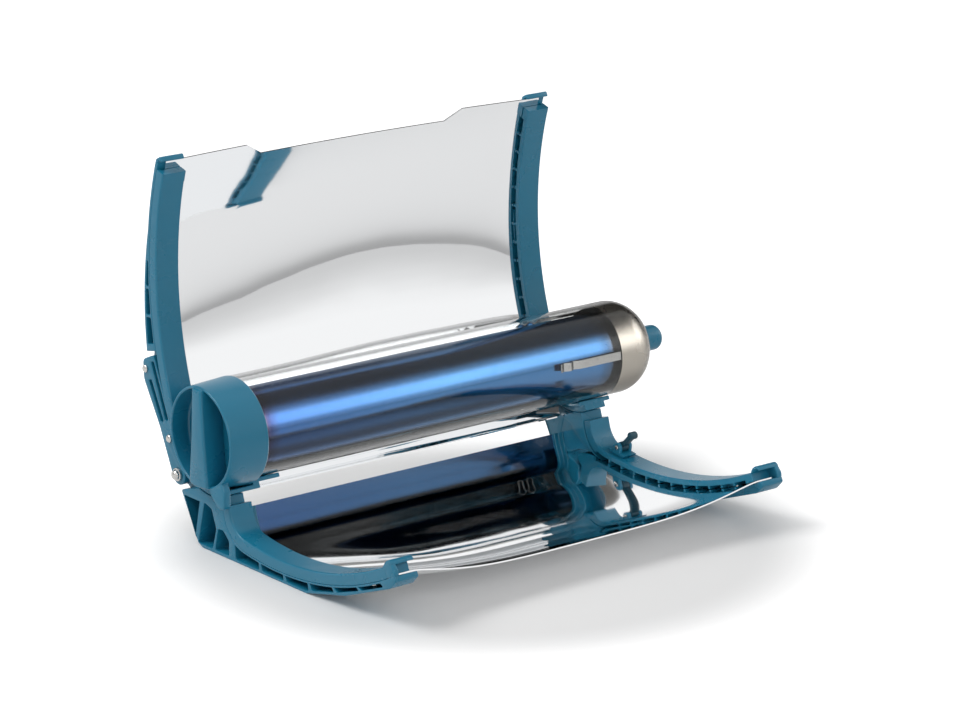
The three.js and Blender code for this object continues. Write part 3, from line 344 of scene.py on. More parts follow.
def freeze(piece: Piece) -> Piece:
    """Turns a piece with modifiers into a plain mesh."""
    bpy.context.view_layer.update()
    graph = bpy.context.evaluated_depsgraph_get()
    mesh = bpy.data.meshes.new_from_object(piece.evaluated_get(graph))
    mesh.name = piece.name
    piece.modifiers.clear()
    piece.data = mesh
    return piece


def smooth(piece: Piece, degrees: float = 32.0) -> None:
    """Shades a piece smooth, with sharp edges past an angle."""
    piece.data.polygons.foreach_set("use_smooth", [True] * len(piece.data.polygons))
    piece.data.set_sharp_from_angle(angle=math.radians(degrees))


def shell(mesh: bmesh.types.BMesh, loops: Loops, closed: bool = False) -> None:
    """Joins loops of points into a shell, with faces over the first and last loop.

    Args:
        mesh: The mesh in the making that takes the shell.
        loops: Loops of equal length, or of one point for a pole.
        closed: True joins the last loop to the first.
    """
    rows = [[mesh.verts.new(point) for point in loop] for loop in loops]
    pairs = list(zip(rows, rows[1:]))
    if closed:
        pairs.append((rows[-1], rows[0]))
    for near, far in pairs:
        count = max(len(near), len(far))
        for i in range(count):
            j = (i + 1) % count
            corners = near[i % len(near)], near[j % len(near)], far[j % len(far)], far[i % len(far)]
            distinct = list(dict.fromkeys(corners))
            if len(distinct) > 2:
                mesh.faces.new(distinct)
    if not closed:
        for row in (rows[0], rows[-1]):
            if len(row) > 2:
                mesh.faces.new(row)


class Mould:
    """Gathers closed shells in the tube's frame and casts them as one object."""

    def __init__(self, place: TubePlace) -> None:
        """Starts with nothing in the mould."""
        self.place = place
        self.mesh = bmesh.new()

    def skin(self, loops: Loops, closed: bool = False) -> "Mould":
        """Adds a shell of loops."""
        shell(self.mesh, loops, closed)
        return self

    def turn(
        self, profile: Sequence[Point2], steps: int = 96, centre: Point2 = (0.0, 0.0), closed: bool = False
    ) -> "Mould":
        """Turns a profile of (x, radius) points round an axis along X.

        Args:
            profile: From pole to pole, or a closed ring profile.
            steps: Parts of the circle.
            centre: The axis, as (y, z).
            closed: True where the profile is a ring's.

        Returns:
            The mould.
        """
        circle = [polar(1.0, 360.0 * k / steps) for k in range(steps)]
        loops = []
        for x, radius in profile:
            if radius < 1e-6:
                loops.append([(x, *centre)])
            else:
                loops.append([(x, centre[0] + radius * c, centre[1] + radius * s) for c, s in circle])
        return self.skin(loops, closed)

    def sector(self, profile: Sequence[Point2], start: float, end: float, steps: int = 24) -> "Mould":
        """Turns a closed profile of (x, radius) points through a part of the circle."""
        loops = []
        for k in range(steps + 1):
            c, s = polar(1.0, start + (end - start) * k / steps)
            loops.append([(x, radius * c, radius * s) for x, radius in profile])
        return self.skin(loops)

    def sweep(self, stations: Sequence[Station], section: Sequence[Point2]) -> "Mould":
        """Draws a closed section of (x, depth) points along a wing's curve."""
        loops = [[(x, *station.at(depth)) for x, depth in section] for station in stations]
        return self.skin(loops)

    def prism(self, outline: Sequence[Point2], start: float, end: float) -> "Mould":
        """A sharp-edged prism along X."""
        return self.skin([[(x, y, z) for y, z in outline] for x in (start, end)])

    def plate(
        self, outline: Sequence[Point2], start: float, end: float, holes: Sequence[Sequence[Point2]] = (),
        edge: float = 0.5, shrink: float = 0.0,
    ) -> "Mould":
        """A plate square to X with holes and softly rounded edges.

        Args:
            outline: Outline as (y, z) points.
            start: One face's X.
            end: The other face's X.
            holes: Outlines of holes right through the plate.
            edge: Rounding of every edge.
            shrink: Distance by which the outline is drawn in.

        Returns:
            The mould.
        """
        curve = bpy.data.curves.new("plate", "CURVE")
        curve.dimensions = "2D"
        curve.fill_mode = "BOTH"
        for k, loop in enumerate([outline, *holes]):
            forward = (signed_area(loop) > 0) == (k == 0)
            points = list(loop) if forward else list(reversed(loop))
            spline = curve.splines.new("POLY")
            spline.points.add(len(points) - 1)
            for point, (y, z) in zip(spline.points, points):
                point.co = (y, z, 0.0, 1.0)
            spline.use_cyclic_u = True
        curve.extrude = abs(end - start) / 2 - edge
        curve.bevel_depth = edge
        curve.bevel_resolution = 2
        curve.offset = -edge - shrink
        holder = link("plate", curve)
        bpy.context.view_layer.update()
        graph = bpy.context.evaluated_depsgraph_get()
        mesh = bpy.data.meshes.new_from_object(holder.evaluated_get(graph))
        middle = (start + end) / 2
        turned = Matrix(((0, 0, 1, middle), (1, 0, 0, 0), (0, 1, 0, 0), (0, 0, 0, 1)))
        mesh.transform(turned)
        self.mesh.from_mesh(mesh)
        bpy.data.objects.remove(holder)
        bpy.data.meshes.remove(mesh)
        bpy.data.curves.remove(curve)
        return self

    def cast(self, name: str, look: Look, edge: float = 0.0) -> Piece:
        """Makes the object.

        Args:
            name: The object's name.
            look: Its look.
            edge: Width of a bevel on every sharp edge, or zero for none.

        Returns:
            The object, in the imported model's frame.
        """
        bmesh.ops.remove_doubles(self.mesh, verts=self.mesh.verts, dist=1e-3)
        bmesh.ops.recalc_face_normals(self.mesh, faces=self.mesh.faces)
        self.mesh.transform(self.place.matrix)
        piece = land(name, self.mesh)
        piece.data.materials.append(look.material)
        if edge:
            bevel = piece.modifiers.new("edges", "BEVEL")
            bevel.width = edge * MM
            bevel.segments = 3
            bevel.limit_method = "ANGLE"
            bevel.angle_limit = math.radians(40)
            freeze(piece)
        smooth(piece)
        return piece

    def fix(self, node: str, look: Look, body: str, edge: float = 0.0) -> None:
        """Casts the object that takes one CAD node's place, and fixes it to its body."""
        fit(self.cast(f"{node}_form", look, edge), body, look.slot, node)


def fit(piece: Piece, body: str, slot: str, *nodes: str) -> None:
    """Fixes a finished piece to its body, in place of CAD nodes, and reports it."""
    if nodes:
        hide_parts(*nodes)
    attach(piece, body)
    log.info("%s rides on %s with %d faces", piece.name, body, len(piece.data.polygons))


# Node trees


class Bench:
    """Short hand for building a node tree."""

    def __init__(self, tree: Tree) -> None:
        """Works on a tree."""
        self.tree = tree

    def join(self, source: Socket, target: Socket) -> None:
        """Links two sockets."""
        self.tree.links.new(source, target)

    def feed(self, target: Socket, value: object) -> None:
        """Links a socket to an input, or sets the input to a plain value."""
        if isinstance(value, Socket):
            self.join(value, target)
        else:
            target.default_value = value

    def node(self, kind: str, feeds: dict[str | int, object] | None = None, **settings: object) -> bpy.types.Node:
        """Adds a node.

        Args:
            kind: Type of the node.
            feeds: What each input gets, by its name or number: a socket or a plain value.
            settings: The node's own properties, which are set first.

        Returns:
            The new node.
        """
        made = self.tree.nodes.new(kind)
        for key, value in settings.items():
            setattr(made, key, value)
        for label, value in (feeds or {}).items():
            self.feed(made.inputs[label], value)
        return made

    def math(self, operation: str, a: object, b: object = 0.0) -> Socket:
        """The result of a math node on sockets or numbers."""
        return self.node("ShaderNodeMath", {0: a, 1: b}, operation=operation).outputs[0]

    def place(self) -> Socket:
        """The object's own coordinates."""
        return self.node("ShaderNodeTexCoord").outputs["Object"]

    def noise(self, vector: Socket, scale: object, detail: float) -> Socket:
        """The value of a noise texture."""
        feeds = {"Vector": vector, "Scale": scale, "Detail": detail}
        return self.node("ShaderNodeTexNoise", feeds).outputs["Fac"]

    def span(
        self, value: Socket, start: float, end: float, low: object = 0.0, high: object = 1.0, **settings: object
    ) -> Socket:
        """A value taken from the range start to end into the range low to high."""
        feeds = {"Value": value, "From Min": start, "From Max": end, "To Min": low, "To Max": high}
        return self.node("ShaderNodeMapRange", feeds, **settings).outputs["Result"]

    def blend(self, share: object, a: object, b: object, kind: str = "FLOAT", **settings: object) -> Socket:
        """A mix of two numbers or colours by a share."""
        feeds = {"Factor": share, "A": a, "B": b}
        return self.node("ShaderNodeMix", feeds, data_type=kind, **settings).outputs["Result"]

    def ramp(self, value: Socket, stops: Sequence[tuple[float, Sequence[float]]]) -> Socket:
        """A colour ramp over a value from zero to one.

        Args:
            value: What the ramp reads.
            stops: Position and colour of each stop, in order.

        Returns:
            The ramp's colour.
        """
        made = self.node("ShaderNodeValToRGB", {"Fac": value})
        band = made.color_ramp.elements
        for element, (position, colour) in zip(band, (stops[0], stops[-1])):
            element.position, element.color = position, rgba(*colour)
        for position, colour in stops[1:-1]:
            band.new(position).color = rgba(*colour)
        return made.outputs["Color"]

    def greys(self, value: Socket, stops: Sequence[Point2]) -> Socket:
        """A ramp of greys."""
        return self.ramp(value, [(position, (grey,) * 3) for position, grey in stops])


class GroupBench(Bench):
    """A bench on a new shader node group with named sockets."""

    def __init__(self, name: str, inputs: dict[str, tuple[str, object]], outputs: dict[str, str]) -> None:
        """Makes the group.

        Args:
            name: Name of the group.
            inputs: Socket type and default of each input.
            outputs: Socket type of each output.
        """
        super().__init__(bpy.data.node_groups.new(name, "ShaderNodeTree"))
        face = self.tree.interface
        for label, (kind, value) in inputs.items():
            face.new_socket(label, in_out="INPUT", socket_type=kind).default_value = value
        for label, kind in outputs.items():
            face.new_socket(label, in_out="OUTPUT", socket_type=kind)
        self.given = self.node("NodeGroupInput").outputs
        self.result = self.node("NodeGroupOutput").inputs

    def give(self, **results: Socket) -> Tree:
        """Links the group's results and returns its tree."""
        for label, socket in results.items():
            self.join(socket, self.result[label])
        return self.tree


# Repeating small pieces along a path


class Repeater:
    """Sets copies of a small item at places, with Geometry Nodes."""

    def __init__(self) -> None:
        """Builds the node tree once."""
        self.tree = bpy.data.node_groups.new("set_along", "GeometryNodeTree")
        face = self.tree.interface
        kinds = {"Places": "Geometry", "Item": "Object", "Finish": "Material", "Growth": "Float"}
        made = {
            label: face.new_socket(label, in_out="INPUT", socket_type=f"NodeSocket{kind}")
            for label, kind in kinds.items()
        }
        made["Growth"].default_value = 1.0
        self.ids = {label: socket.identifier for label, socket in made.items()}
        face.new_socket("Copies", in_out="OUTPUT", socket_type="NodeSocketGeometry")
        bench = Bench(self.tree)
        given = bench.node("NodeGroupInput").outputs
        item = bench.node("GeometryNodeObjectInfo", {"Object": given["Item"]})
        kind = "GeometryNodeInputNamedAttribute"
        turn, size = (
            bench.node(kind, {"Name": name}, data_type="FLOAT_VECTOR").outputs["Attribute"] for name in ("turn", "size")
        )
        rotation = bench.node("FunctionNodeEulerToRotation", {0: turn})
        grown = bench.node("ShaderNodeVectorMath", {0: size, "Scale": given["Growth"]}, operation="SCALE")
        copies = bench.node("GeometryNodeInstanceOnPoints", {
            "Points": given["Places"], "Instance": item.outputs["Geometry"],
            "Rotation": rotation.outputs[0], "Scale": grown.outputs["Vector"],
        })
        real = bench.node("GeometryNodeRealizeInstances", {"Geometry": copies.outputs["Instances"]})
        dress = {"Geometry": real.outputs["Geometry"], "Material": given["Finish"]}
        dressed = bench.node("GeometryNodeSetMaterial", dress)
        bench.node("NodeGroupOutput", {"Copies": dressed.outputs["Geometry"]})

    def set_out(self, name: str, item: Piece, look: Look, places: Sequence[Spot]) -> Piece:
        """Makes one mesh of copies of an item.

        Args:
            name: Name of the new object.
            item: The small item, at the origin. It is removed afterwards.
            look: Look of the copies.
            places: Place, turn and size of each copy.

        Returns:
            The new object.
        """
        data = bpy.data.meshes.new(name)
        data.from_pydata([tuple(place) for place, _, _ in places], [], [])
        for k, label in ((1, "turn"), (2, "size")):
            layer = data.attributes.new(label, "FLOAT_VECTOR", "POINT")
            layer.data.foreach_set("vector", [value for spot in places for value in spot[k]])
        piece = link(name, data)
        step = piece.modifiers.new("copies", "NODES")
        step.node_group = self.tree
        for label, value in (("Item", item), ("Finish", look.material), ("Growth", 1.0)):
            step[self.ids[label]] = value
        freeze(piece)
        bpy.data.objects.remove(item)
        smooth(piece)
        return piece


# Materials


FLOAT = "NodeSocketFloat"
COLOUR = "NodeSocketColor"


def rgba(red: float, green: float, blue: float) -> Colour:
    """A linear colour with full alpha."""
    return red, green, blue, 1.0


def grain_group() -> Tree:
    """Fine moulded grain over a slow swell, as a height."""
    inputs = {"Grain": (FLOAT, 900.0), "Swell": (FLOAT, 40.0), "Swell share": (FLOAT, 0.3)}
    bench = GroupBench("moulded_grain", inputs, {"Height": FLOAT})
    place, given = bench.place(), bench.given
    fine = bench.noise(place, given["Grain"], 2.0)
    slow = bench.noise(place, given["Swell"], 1.0)
    return bench.give(Height=bench.math("ADD", fine, bench.math("MULTIPLY", slow, given["Swell share"])))


def drift_group() -> Tree:
    """Slow change of a colour between two tones, with a few pale scuffs."""
    inputs = {
        "Tone": (COLOUR, rgba(0.5, 0.5, 0.5)), "Other tone": (COLOUR, rgba(0.4, 0.4, 0.4)),
        "Scale": (FLOAT, 22.0), "Scuff": (FLOAT, 0.1),
    }
    bench = GroupBench("tone_drift", inputs, {"Colour": COLOUR, "Scuffs": FLOAT})
    place, given = bench.place(), bench.given
    share = bench.noise(place, given["Scale"], 3.0)
    tone = bench.blend(share, given["Tone"], given["Other tone"], "RGBA")
    stretch = {"Vector": place, "Scale": (90.0, 620.0, 330.0), "Rotation": (0.4, 0.9, 0.3)}
    marks = bench.noise(bench.node("ShaderNodeMapping", stretch).outputs["Vector"], 1.0, 2.0)
    scuffs = bench.math("MULTIPLY", bench.span(marks, 0.68, 0.8), given["Scuff"])
    return bench.give(Colour=bench.blend(scuffs, tone, rgba(0.55, 0.62, 0.64), "RGBA"), Scuffs=scuffs)


def handling_group() -> Tree:
    """Roughness that varies with handling and dust."""
    inputs = {"Low": (FLOAT, 0.2), "High": (FLOAT, 0.4), "Scale": (FLOAT, 30.0)}
    bench = GroupBench("handling", inputs, {"Roughness": FLOAT})
    given = bench.given
    noise = bench.noise(bench.place(), given["Scale"], 4.0)
    return bench.give(Roughness=bench.span(noise, 0.3, 0.7, given["Low"], given["High"]))


def brushed_group() -> Tree:
    """Fine lines along X, as a mask."""
    inputs = {"Along": (FLOAT, 12.0), "Cross": (FLOAT, 1500.0)}
    bench = GroupBench("drawn_lines", inputs, {"Lines": FLOAT})
    along, cross = bench.given["Along"], bench.given["Cross"]
    size = bench.node("ShaderNodeCombineXYZ", {"X": along, "Y": cross, "Z": cross}).outputs["Vector"]
    scaled = bench.node("ShaderNodeVectorMath", {0: bench.place(), 1: size}, operation="MULTIPLY")
    return bench.give(Lines=bench.noise(scaled.outputs["Vector"], 1.0, 2.0))


class Groups:
    """The shared shader groups, built once."""

    def __init__(self) -> None:
        """Builds every group."""
        self.grain = grain_group()
        self.drift = drift_group()
        self.handling = handling_group()
        self.brushed = brushed_group()


class Paint:
    """One material under construction."""

    def __init__(self, name: str) -> None:
        """Starts a node material with its Principled shader."""
        self.material = bpy.data.materials.new(name)
        self.material.use_nodes = True
        self.bench = Bench(self.material.node_tree)
        self.shader = self.material.node_tree.nodes["Principled BSDF"]

    def group(self, tree: Tree, **values: object) -> Socket:
        """The first result of a shared group, with underscores in names standing for spaces."""
        feeds = {key.replace("_", " "): value for key, value in values.items()}
        return self.bench.node("ShaderNodeGroup", feeds, node_tree=tree).outputs[0]

    def bump(self, height: Socket, distance: float, strength: float = 1.0) -> Socket:
        """The normal of a surface raised by a height, up to a distance in metres."""
        feeds = {"Distance": distance, "Strength": strength, "Height": height}
        return self.bench.node("ShaderNodeBump", feeds).outputs["Normal"]

    def set(self, **values: object) -> Material:
        """Feeds the Principled shader, with underscores standing for spaces, and returns the material."""
        for key, value in values.items():
            self.bench.feed(self.shader.inputs[key.replace("_", " ")], value)
        return self.material


@dataclass(frozen=True)
class MouldedPlastic:
    """Satin moulded plastic with a fine grain."""

    name: str
    tone: Colour
    other: Colour
    low: float = 0.24
    high: float = 0.36
    scuff: float = 0.04

    def make(self, groups: Groups) -> Material:
        """Builds the material."""
        paint = Paint(self.name)
        grain = paint.group(groups.grain, Grain=1500.0, Swell=60.0)
        return paint.set(
            Base_Color=paint.group(groups.drift, Tone=self.tone, Other_tone=self.other, Scuff=self.scuff),
            Roughness=paint.group(groups.handling, Low=self.low, High=self.high, Scale=35.0),
            Normal=paint.bump(grain, 0.00004, 0.5),
            IOR=1.47,
        )


@dataclass(frozen=True)
class MirrorSheet:
    """Polished reflector sheet, a little wavy."""

    name: str = "mirror_sheet"
    tone: Colour = rgba(0.9, 0.91, 0.92)
    wave: float = 14.0
    wave_height: float = 0.00022

    def make(self, groups: Groups) -> Material:
        """Builds the material."""
        paint = Paint(self.name)
        wave = paint.group(groups.grain, Grain=self.wave, Swell=4.0, Swell_share=1.0)
        return paint.set(
            Base_Color=self.tone,
            Roughness=paint.group(groups.handling, Low=0.02, High=0.05, Scale=9.0),
            Normal=paint.bump(wave, self.wave_height),
            Metallic=1.0,
        )


@dataclass(frozen=True)
class ClearGlass:
    """Clear borosilicate glass."""

    name: str = "clear_glass"
    tone: Colour = rgba(0.98, 0.99, 0.99)

    def make(self, groups: Groups) -> Material:
        """Builds the material."""
        paint = Paint(self.name)
        rough = paint.group(groups.handling, Low=0.0, High=0.012, Scale=12.0)
        return paint.set(Base_Color=self.tone, Roughness=rough, Transmission_Weight=1.0, IOR=1.38)


@dataclass(frozen=True)
class AbsorberCoat:
    """Dark blue coating that turns brown at the mouth and silvery at the dome."""

    name: str = "absorber_coat"
    start: float = -0.155
    end: float = 0.1442
    shade_range: Point2 = (0.8, 1.1)
    stops: tuple[tuple[float, Point3], ...] = (
        (0.0, (0.42, 0.36, 0.28)), (0.036, (0.26, 0.17, 0.12)), (0.05, (0.05, 0.07, 0.24)),
        (0.075, (0.06, 0.2, 0.54)), (0.5, (0.085, 0.28, 0.6)), (0.88, (0.08, 0.26, 0.56)),
        (0.905, (0.06, 0.15, 0.3)), (0.93, (0.2, 0.19, 0.18)), (0.95, (0.42, 0.38, 0.33)), (1.0, (0.5, 0.46, 0.4)),
    )

    def make(self, groups: Groups) -> Material:
        """Builds the material."""
        paint = Paint(self.name)
        bench = paint.bench
        along = bench.node("ShaderNodeSeparateXYZ", {"Vector": bench.place()}).outputs["X"]
        tone = bench.ramp(bench.span(along, self.start, self.end), self.stops)
        lines = paint.group(groups.brushed, Along=3.0, Cross=60.0)
        shade = bench.span(lines, 0.0, 1.0, *self.shade_range)
        return paint.set(
            Base_Color=bench.blend(1.0, tone, shade, "RGBA", blend_type="MULTIPLY"),
            Roughness=paint.group(groups.handling, Low=0.13, High=0.2, Scale=20.0),
            Metallic=1.0,
        )


@dataclass(frozen=True)
class BareMetal:
    """Bright metal with fine drawn lines."""

    name: str
    tone: Colour
    low: float = 0.16
    high: float = 0.28
    line_height: float = 0.00001

    def make(self, groups: Groups) -> Material:
        """Builds the material."""
        paint = Paint(self.name)
        lines = paint.group(groups.brushed, Along=60.0, Cross=2600.0)
        return paint.set(
            Base_Color=self.tone,
            Roughness=paint.group(groups.handling, Low=self.low, High=self.high, Scale=60.0),
            Normal=paint.bump(lines, self.line_height, 0.6),
            Metallic=1.0,
        )


class Finishes:
    """Every material of the oven."""

    def __init__(self) -> None:
        """Builds them from the shared groups."""
        recipes = {
            "teal": MouldedPlastic("teal_plastic", rgba(0.007, 0.150, 0.250), rgba(0.010, 0.172, 0.285)),
            "dark": MouldedPlastic("dark_plastic", rgba(0.006, 0.045, 0.07), rgba(0.01, 0.06, 0.085), 0.35, 0.5),
            "silicone": MouldedPlastic("silicone", rgba(0.1, 0.11, 0.115), rgba(0.08, 0.09, 0.095), 0.55, 0.7, 0.0),
            "mirror": MirrorSheet(), "glass": ClearGlass(), "coat": AbsorberCoat(),
            "steel": BareMetal("bright_steel", rgba(0.62, 0.61, 0.59)),
            "film": BareMetal("getter_film", rgba(0.60, 0.55, 0.48), 0.2, 0.3, 0.000002),
            "tray": BareMetal("tray_steel", rgba(0.6, 0.6, 0.59), 0.2, 0.32, 0.00002),
        }
        groups = Groups()
        made = {}
        for key, recipe in recipes.items():
            slot = "steel" if isinstance(recipe, BareMetal) else recipe.name
            made[key] = Look(recipe.make(groups), slot)
        self.teal, self.dark, self.silicone = made["teal"], made["dark"], made["silicone"]
        self.mirror, self.glass, self.coat = made["mirror"], made["glass"], made["coat"]
        self.steel, self.film, self.tray = made["steel"], made["film"], made["tray"]


# Curves of the wings


@dataclass(frozen=True)
class LowerShape:
    """The lower wing's side curve and rib outline."""

    drop: float = 28.0
    radius: float = 225.0
    vertex_y: float = -68.0
    sweep_front: float = 104.2
    sweep_rear: float = 35.0
    neck_radius: float = 16.0
    neck_turn: float = 66.0
    neck_rise: float = 5.0
    sheet_neck_radius: float = 50.0
    sheet_neck_turn: float = 32.5
    sag: float = 9.4
    sag_length: float = 115.0
    sag_start: float = 15.0
    sag_soft: float = 0.1
    nose_length: float = 7.0
    nose_thickness: float = 3.2
    knee_share: float = 0.303
    foot_depth: float = 13.0
    foot_front: float = -93.0
    foot_rear: float = 9.0
    foot_rear_rise: float = 2.5
    foot_rear_set: float = 4.5
    hip: Point2 = (29.5, -39.5)
    rib_depth: float = 12.6
    top_wall: float = 1.3
    bottom_wall: float = 1.6
    truss_wall: float = 2.0
    truss_slant: float = 3.0
    pocket_rear_share: float = 0.75
    seat_front_angle: float = -107.0
    seat_rear_angle: float = -72.0
    rear_pocket: Points = ((0.95, 0.93), (0.6, 0.93), (0.71, 0.15))
    middle_pocket: Points = ((0.52, 0.93), (0.66, 0.07), (0.36, 0.07), (0.28, 0.5), (0.37, 0.86))
    window: Points = ((0.24, 0.52), (0.31, 0.07), (0.02, 0.07), (0.02, 0.36), (0.13, 0.52))

    @property
    def vertex_z(self) -> float:
        """Lowest point of the strips' front face."""
        return -(LAYOUT.glass_radius + self.drop)

    @property
    def floor_z(self) -> float:
        """Height of the floor."""
        return self.vertex_z - self.foot_depth

    @property
    def rear_angle(self) -> float:
        """Angle at which the arc gives way to the neck."""
        return -90 + math.degrees(math.asin(self.sweep_rear / self.radius))

    @property
    def neck_centre(self) -> Point2:
        """Centre of the neck's arc."""
        ny, nz = polar(1.0, self.rear_angle)
        reach = self.radius - self.neck_radius
        return self.vertex_y + ny * reach, self.vertex_z + self.radius + nz * reach

    def arc(self) -> list[Station]:
        """Stations of the main arc."""
        front = -90 - math.degrees(math.asin(self.sweep_front / self.radius))
        centre = (self.vertex_y, self.vertex_z + self.radius)
        return arc_stations(centre, self.radius, front, self.rear_angle, 72)

    def curve(self) -> WingCurve:
        """The whole side curve: arc, neck and its short rise."""
        neck = arc_stations(self.neck_centre, self.neck_radius, self.rear_angle, self.rear_angle + self.neck_turn, 24)
        end = neck[-1]
        top = Station(end.y - end.nz * self.neck_rise, end.z + end.ny * self.neck_rise, end.ny, end.nz)
        return WingCurve([*self.arc(), *neck[1:], top])

    @property
    def arc_length(self) -> float:
        """Run length of the main arc."""
        return WingCurve(self.arc()).length

    def sheet_curve(self) -> WingCurve:
        """The sheet's curve, which rises more gently under the tube than the ribs do."""
        ny, nz = polar(1.0, self.rear_angle)
        reach = self.radius - self.sheet_neck_radius
        centre = (self.vertex_y + ny * reach, self.vertex_z + self.radius + nz * reach)
        end = self.rear_angle + self.sheet_neck_turn
        neck = arc_stations(centre, self.sheet_neck_radius, self.rear_angle, end, 24)
        return WingCurve([*self.arc(), *neck[1:]])

    def sag_at(self, away: float, ahead: float) -> float:
        """How far the sheet sags below the strips' curve between the ribs.

        Args:
            away: Distance from the oven's middle along X.
            ahead: Run length ahead of the main arc's rear end.

        Returns:
            The sag in millimetres.
        """
        share = min(1.0, abs(away) / (LAYOUT.rib_span / 2 - LAYOUT.rib_width))
        run = max(0.0, ahead - self.sag_start) / self.sag_length
        return self.sag * (1 - share**4) ** 1.5 * (math.hypot(run, self.sag_soft) - self.sag_soft)

    def underside(self, curve: WingCurve) -> list[Point2]:
        """The rib's underside from the foot's rear corner to the nose's tip."""
        middle = curve.at(self.nose_length + (self.arc_length - self.nose_length) * self.knee_share)
        return [
            (self.foot_rear, self.floor_z), (self.foot_front, self.floor_z), middle.at(self.rib_depth),
            curve.at(self.nose_length).at(self.rib_depth), curve.at(0.0).at(LAYOUT.rib_depth + self.nose_thickness),
        ]

    def outline(self, curve: WingCurve) -> list[Point2]:
        """The rib's outline."""
        seat = arc_points(LAYOUT.seat_radius, self.seat_front_angle, self.seat_rear_angle, 14)
        heel = (self.foot_rear + self.foot_rear_set, self.floor_z + self.foot_rear_rise)
        top = curve.side(0.0, curve.length, LAYOUT.rib_depth)
        return [*top, *seat, self.hip, heel, *self.underside(curve)]

    def in_block(self, share: Point2) -> Point2:
        """A place in the block between the hip and the first front pocket."""
        front = self.pocket_rear + self.truss_wall
        return (front + (self.hip[0] - front) * share[0], self.floor_z + (self.hip[1] - self.floor_z) * share[1])

    @property
    def pocket_rear(self) -> float:
        """Rear end of the front pockets."""
        return self.arc()[-1].y + self.neck_radius * self.pocket_rear_share

    def pockets(self, curve: WingCurve) -> list[list[Point2]]:
        """Outlines of all the pockets, front ones first."""
        low = self.underside(curve)

        def floor(y: float) -> Point2:
            """The pocket floor at a place along Y."""
            for a, b in zip(low, low[1:]):
                if b[0] <= y:
                    return y, a[1] + (b[1] - a[1]) * (y - a[0]) / (b[0] - a[0]) + self.bottom_wall
            return y, low[-1][1] + self.bottom_wall

        result = []
        for i in range(0, LAYOUT.ladder_cells - 1, 2):
            start = LAYOUT.cell_start(self.nose_length, i) + self.truss_wall / 2
            end = LAYOUT.cell_start(self.nose_length, i + 2) - self.truss_wall / 2
            roof = curve.side(start, end, LAYOUT.rib_depth + self.top_wall)
            slant = self.truss_slant * (1 - i / LAYOUT.ladder_cells)
            ahead = roof[0][0] - slant
            behind = min(roof[-1][0], self.pocket_rear) - slant
            kink = [self.foot_front] if ahead < self.foot_front < behind else []
            result.append([*roof, *(floor(y) for y in (behind, *kink, ahead))])
        result += [[self.in_block(share) for share in table] for table in (self.rear_pocket, self.middle_pocket)]
        return result


@dataclass(frozen=True)
class UpperShape:
    """The upper wing's side curve, sheet curve and rib back."""

    radius: float = 210.0
    vertex_z: float = 84.0
    tip_z: float = 151.6
    root_z: float = 2.0
    strip_start: float = 5.0
    wrap_gap: float = 0.34
    wrap_end: float = -95.0
    rim_depth: float = 2.4
    truss_top_drop: float = 41.6
    cell_drop: float = 59.6
    cells: int = 3
    cell_wall: float = 1.5

    @property
    def root_angle(self) -> float:
        """Angle of the arc's root."""
        return math.degrees(math.asin((self.root_z - self.vertex_z) / self.radius))

    @property
    def tip_angle(self) -> float:
        """Angle of the arc's tip."""
        return math.degrees(math.asin((self.tip_z - self.vertex_z) / self.radius))

    @property
    def wrap_radius(self) -> float:
        """Radius at which the curve wraps the saddles' back."""
        return LAYOUT.seat_radius + self.wrap_gap - LAYOUT.sheet_depth

    @property
    def centre(self) -> Point2:
        """Centre of the arc."""
        ny, nz = polar(1.0, self.root_angle)
        return (self.wrap_radius - self.radius - self.vertex_z * nz) / ny, self.vertex_z

    def arc(self) -> list[Station]:
        """Stations of the arc from the tip down."""
        return arc_stations(self.centre, self.radius, self.tip_angle, self.root_angle, 80)

    def curve(self) -> WingCurve:
        """The strips' and ribs' curve."""
        return WingCurve(self.arc())

    def sheet_curve(self) -> WingCurve:
        """The sheet's curve, which runs on round the saddles' back."""
        wrap = arc_stations((0.0, 0.0), self.wrap_radius, self.root_angle, self.wrap_end, 36)
        return WingCurve([*self.arc(), *wrap[1:]])

    def back_wall(self, z: float) -> float:
        """Thickness of the rib's wall behind the strip at a height."""
        return self.cell_wall if z < self.tip_z - self.cell_drop else self.rim_depth

    def at_height(self, z: float) -> Station:
        """The station at a height."""
        angle = math.degrees(math.asin((z - self.vertex_z) / self.radius))
        curve = self.curve()
        return curve.at(curve.length * (self.tip_angle - angle) / (self.tip_angle - self.root_angle))


# Sheets


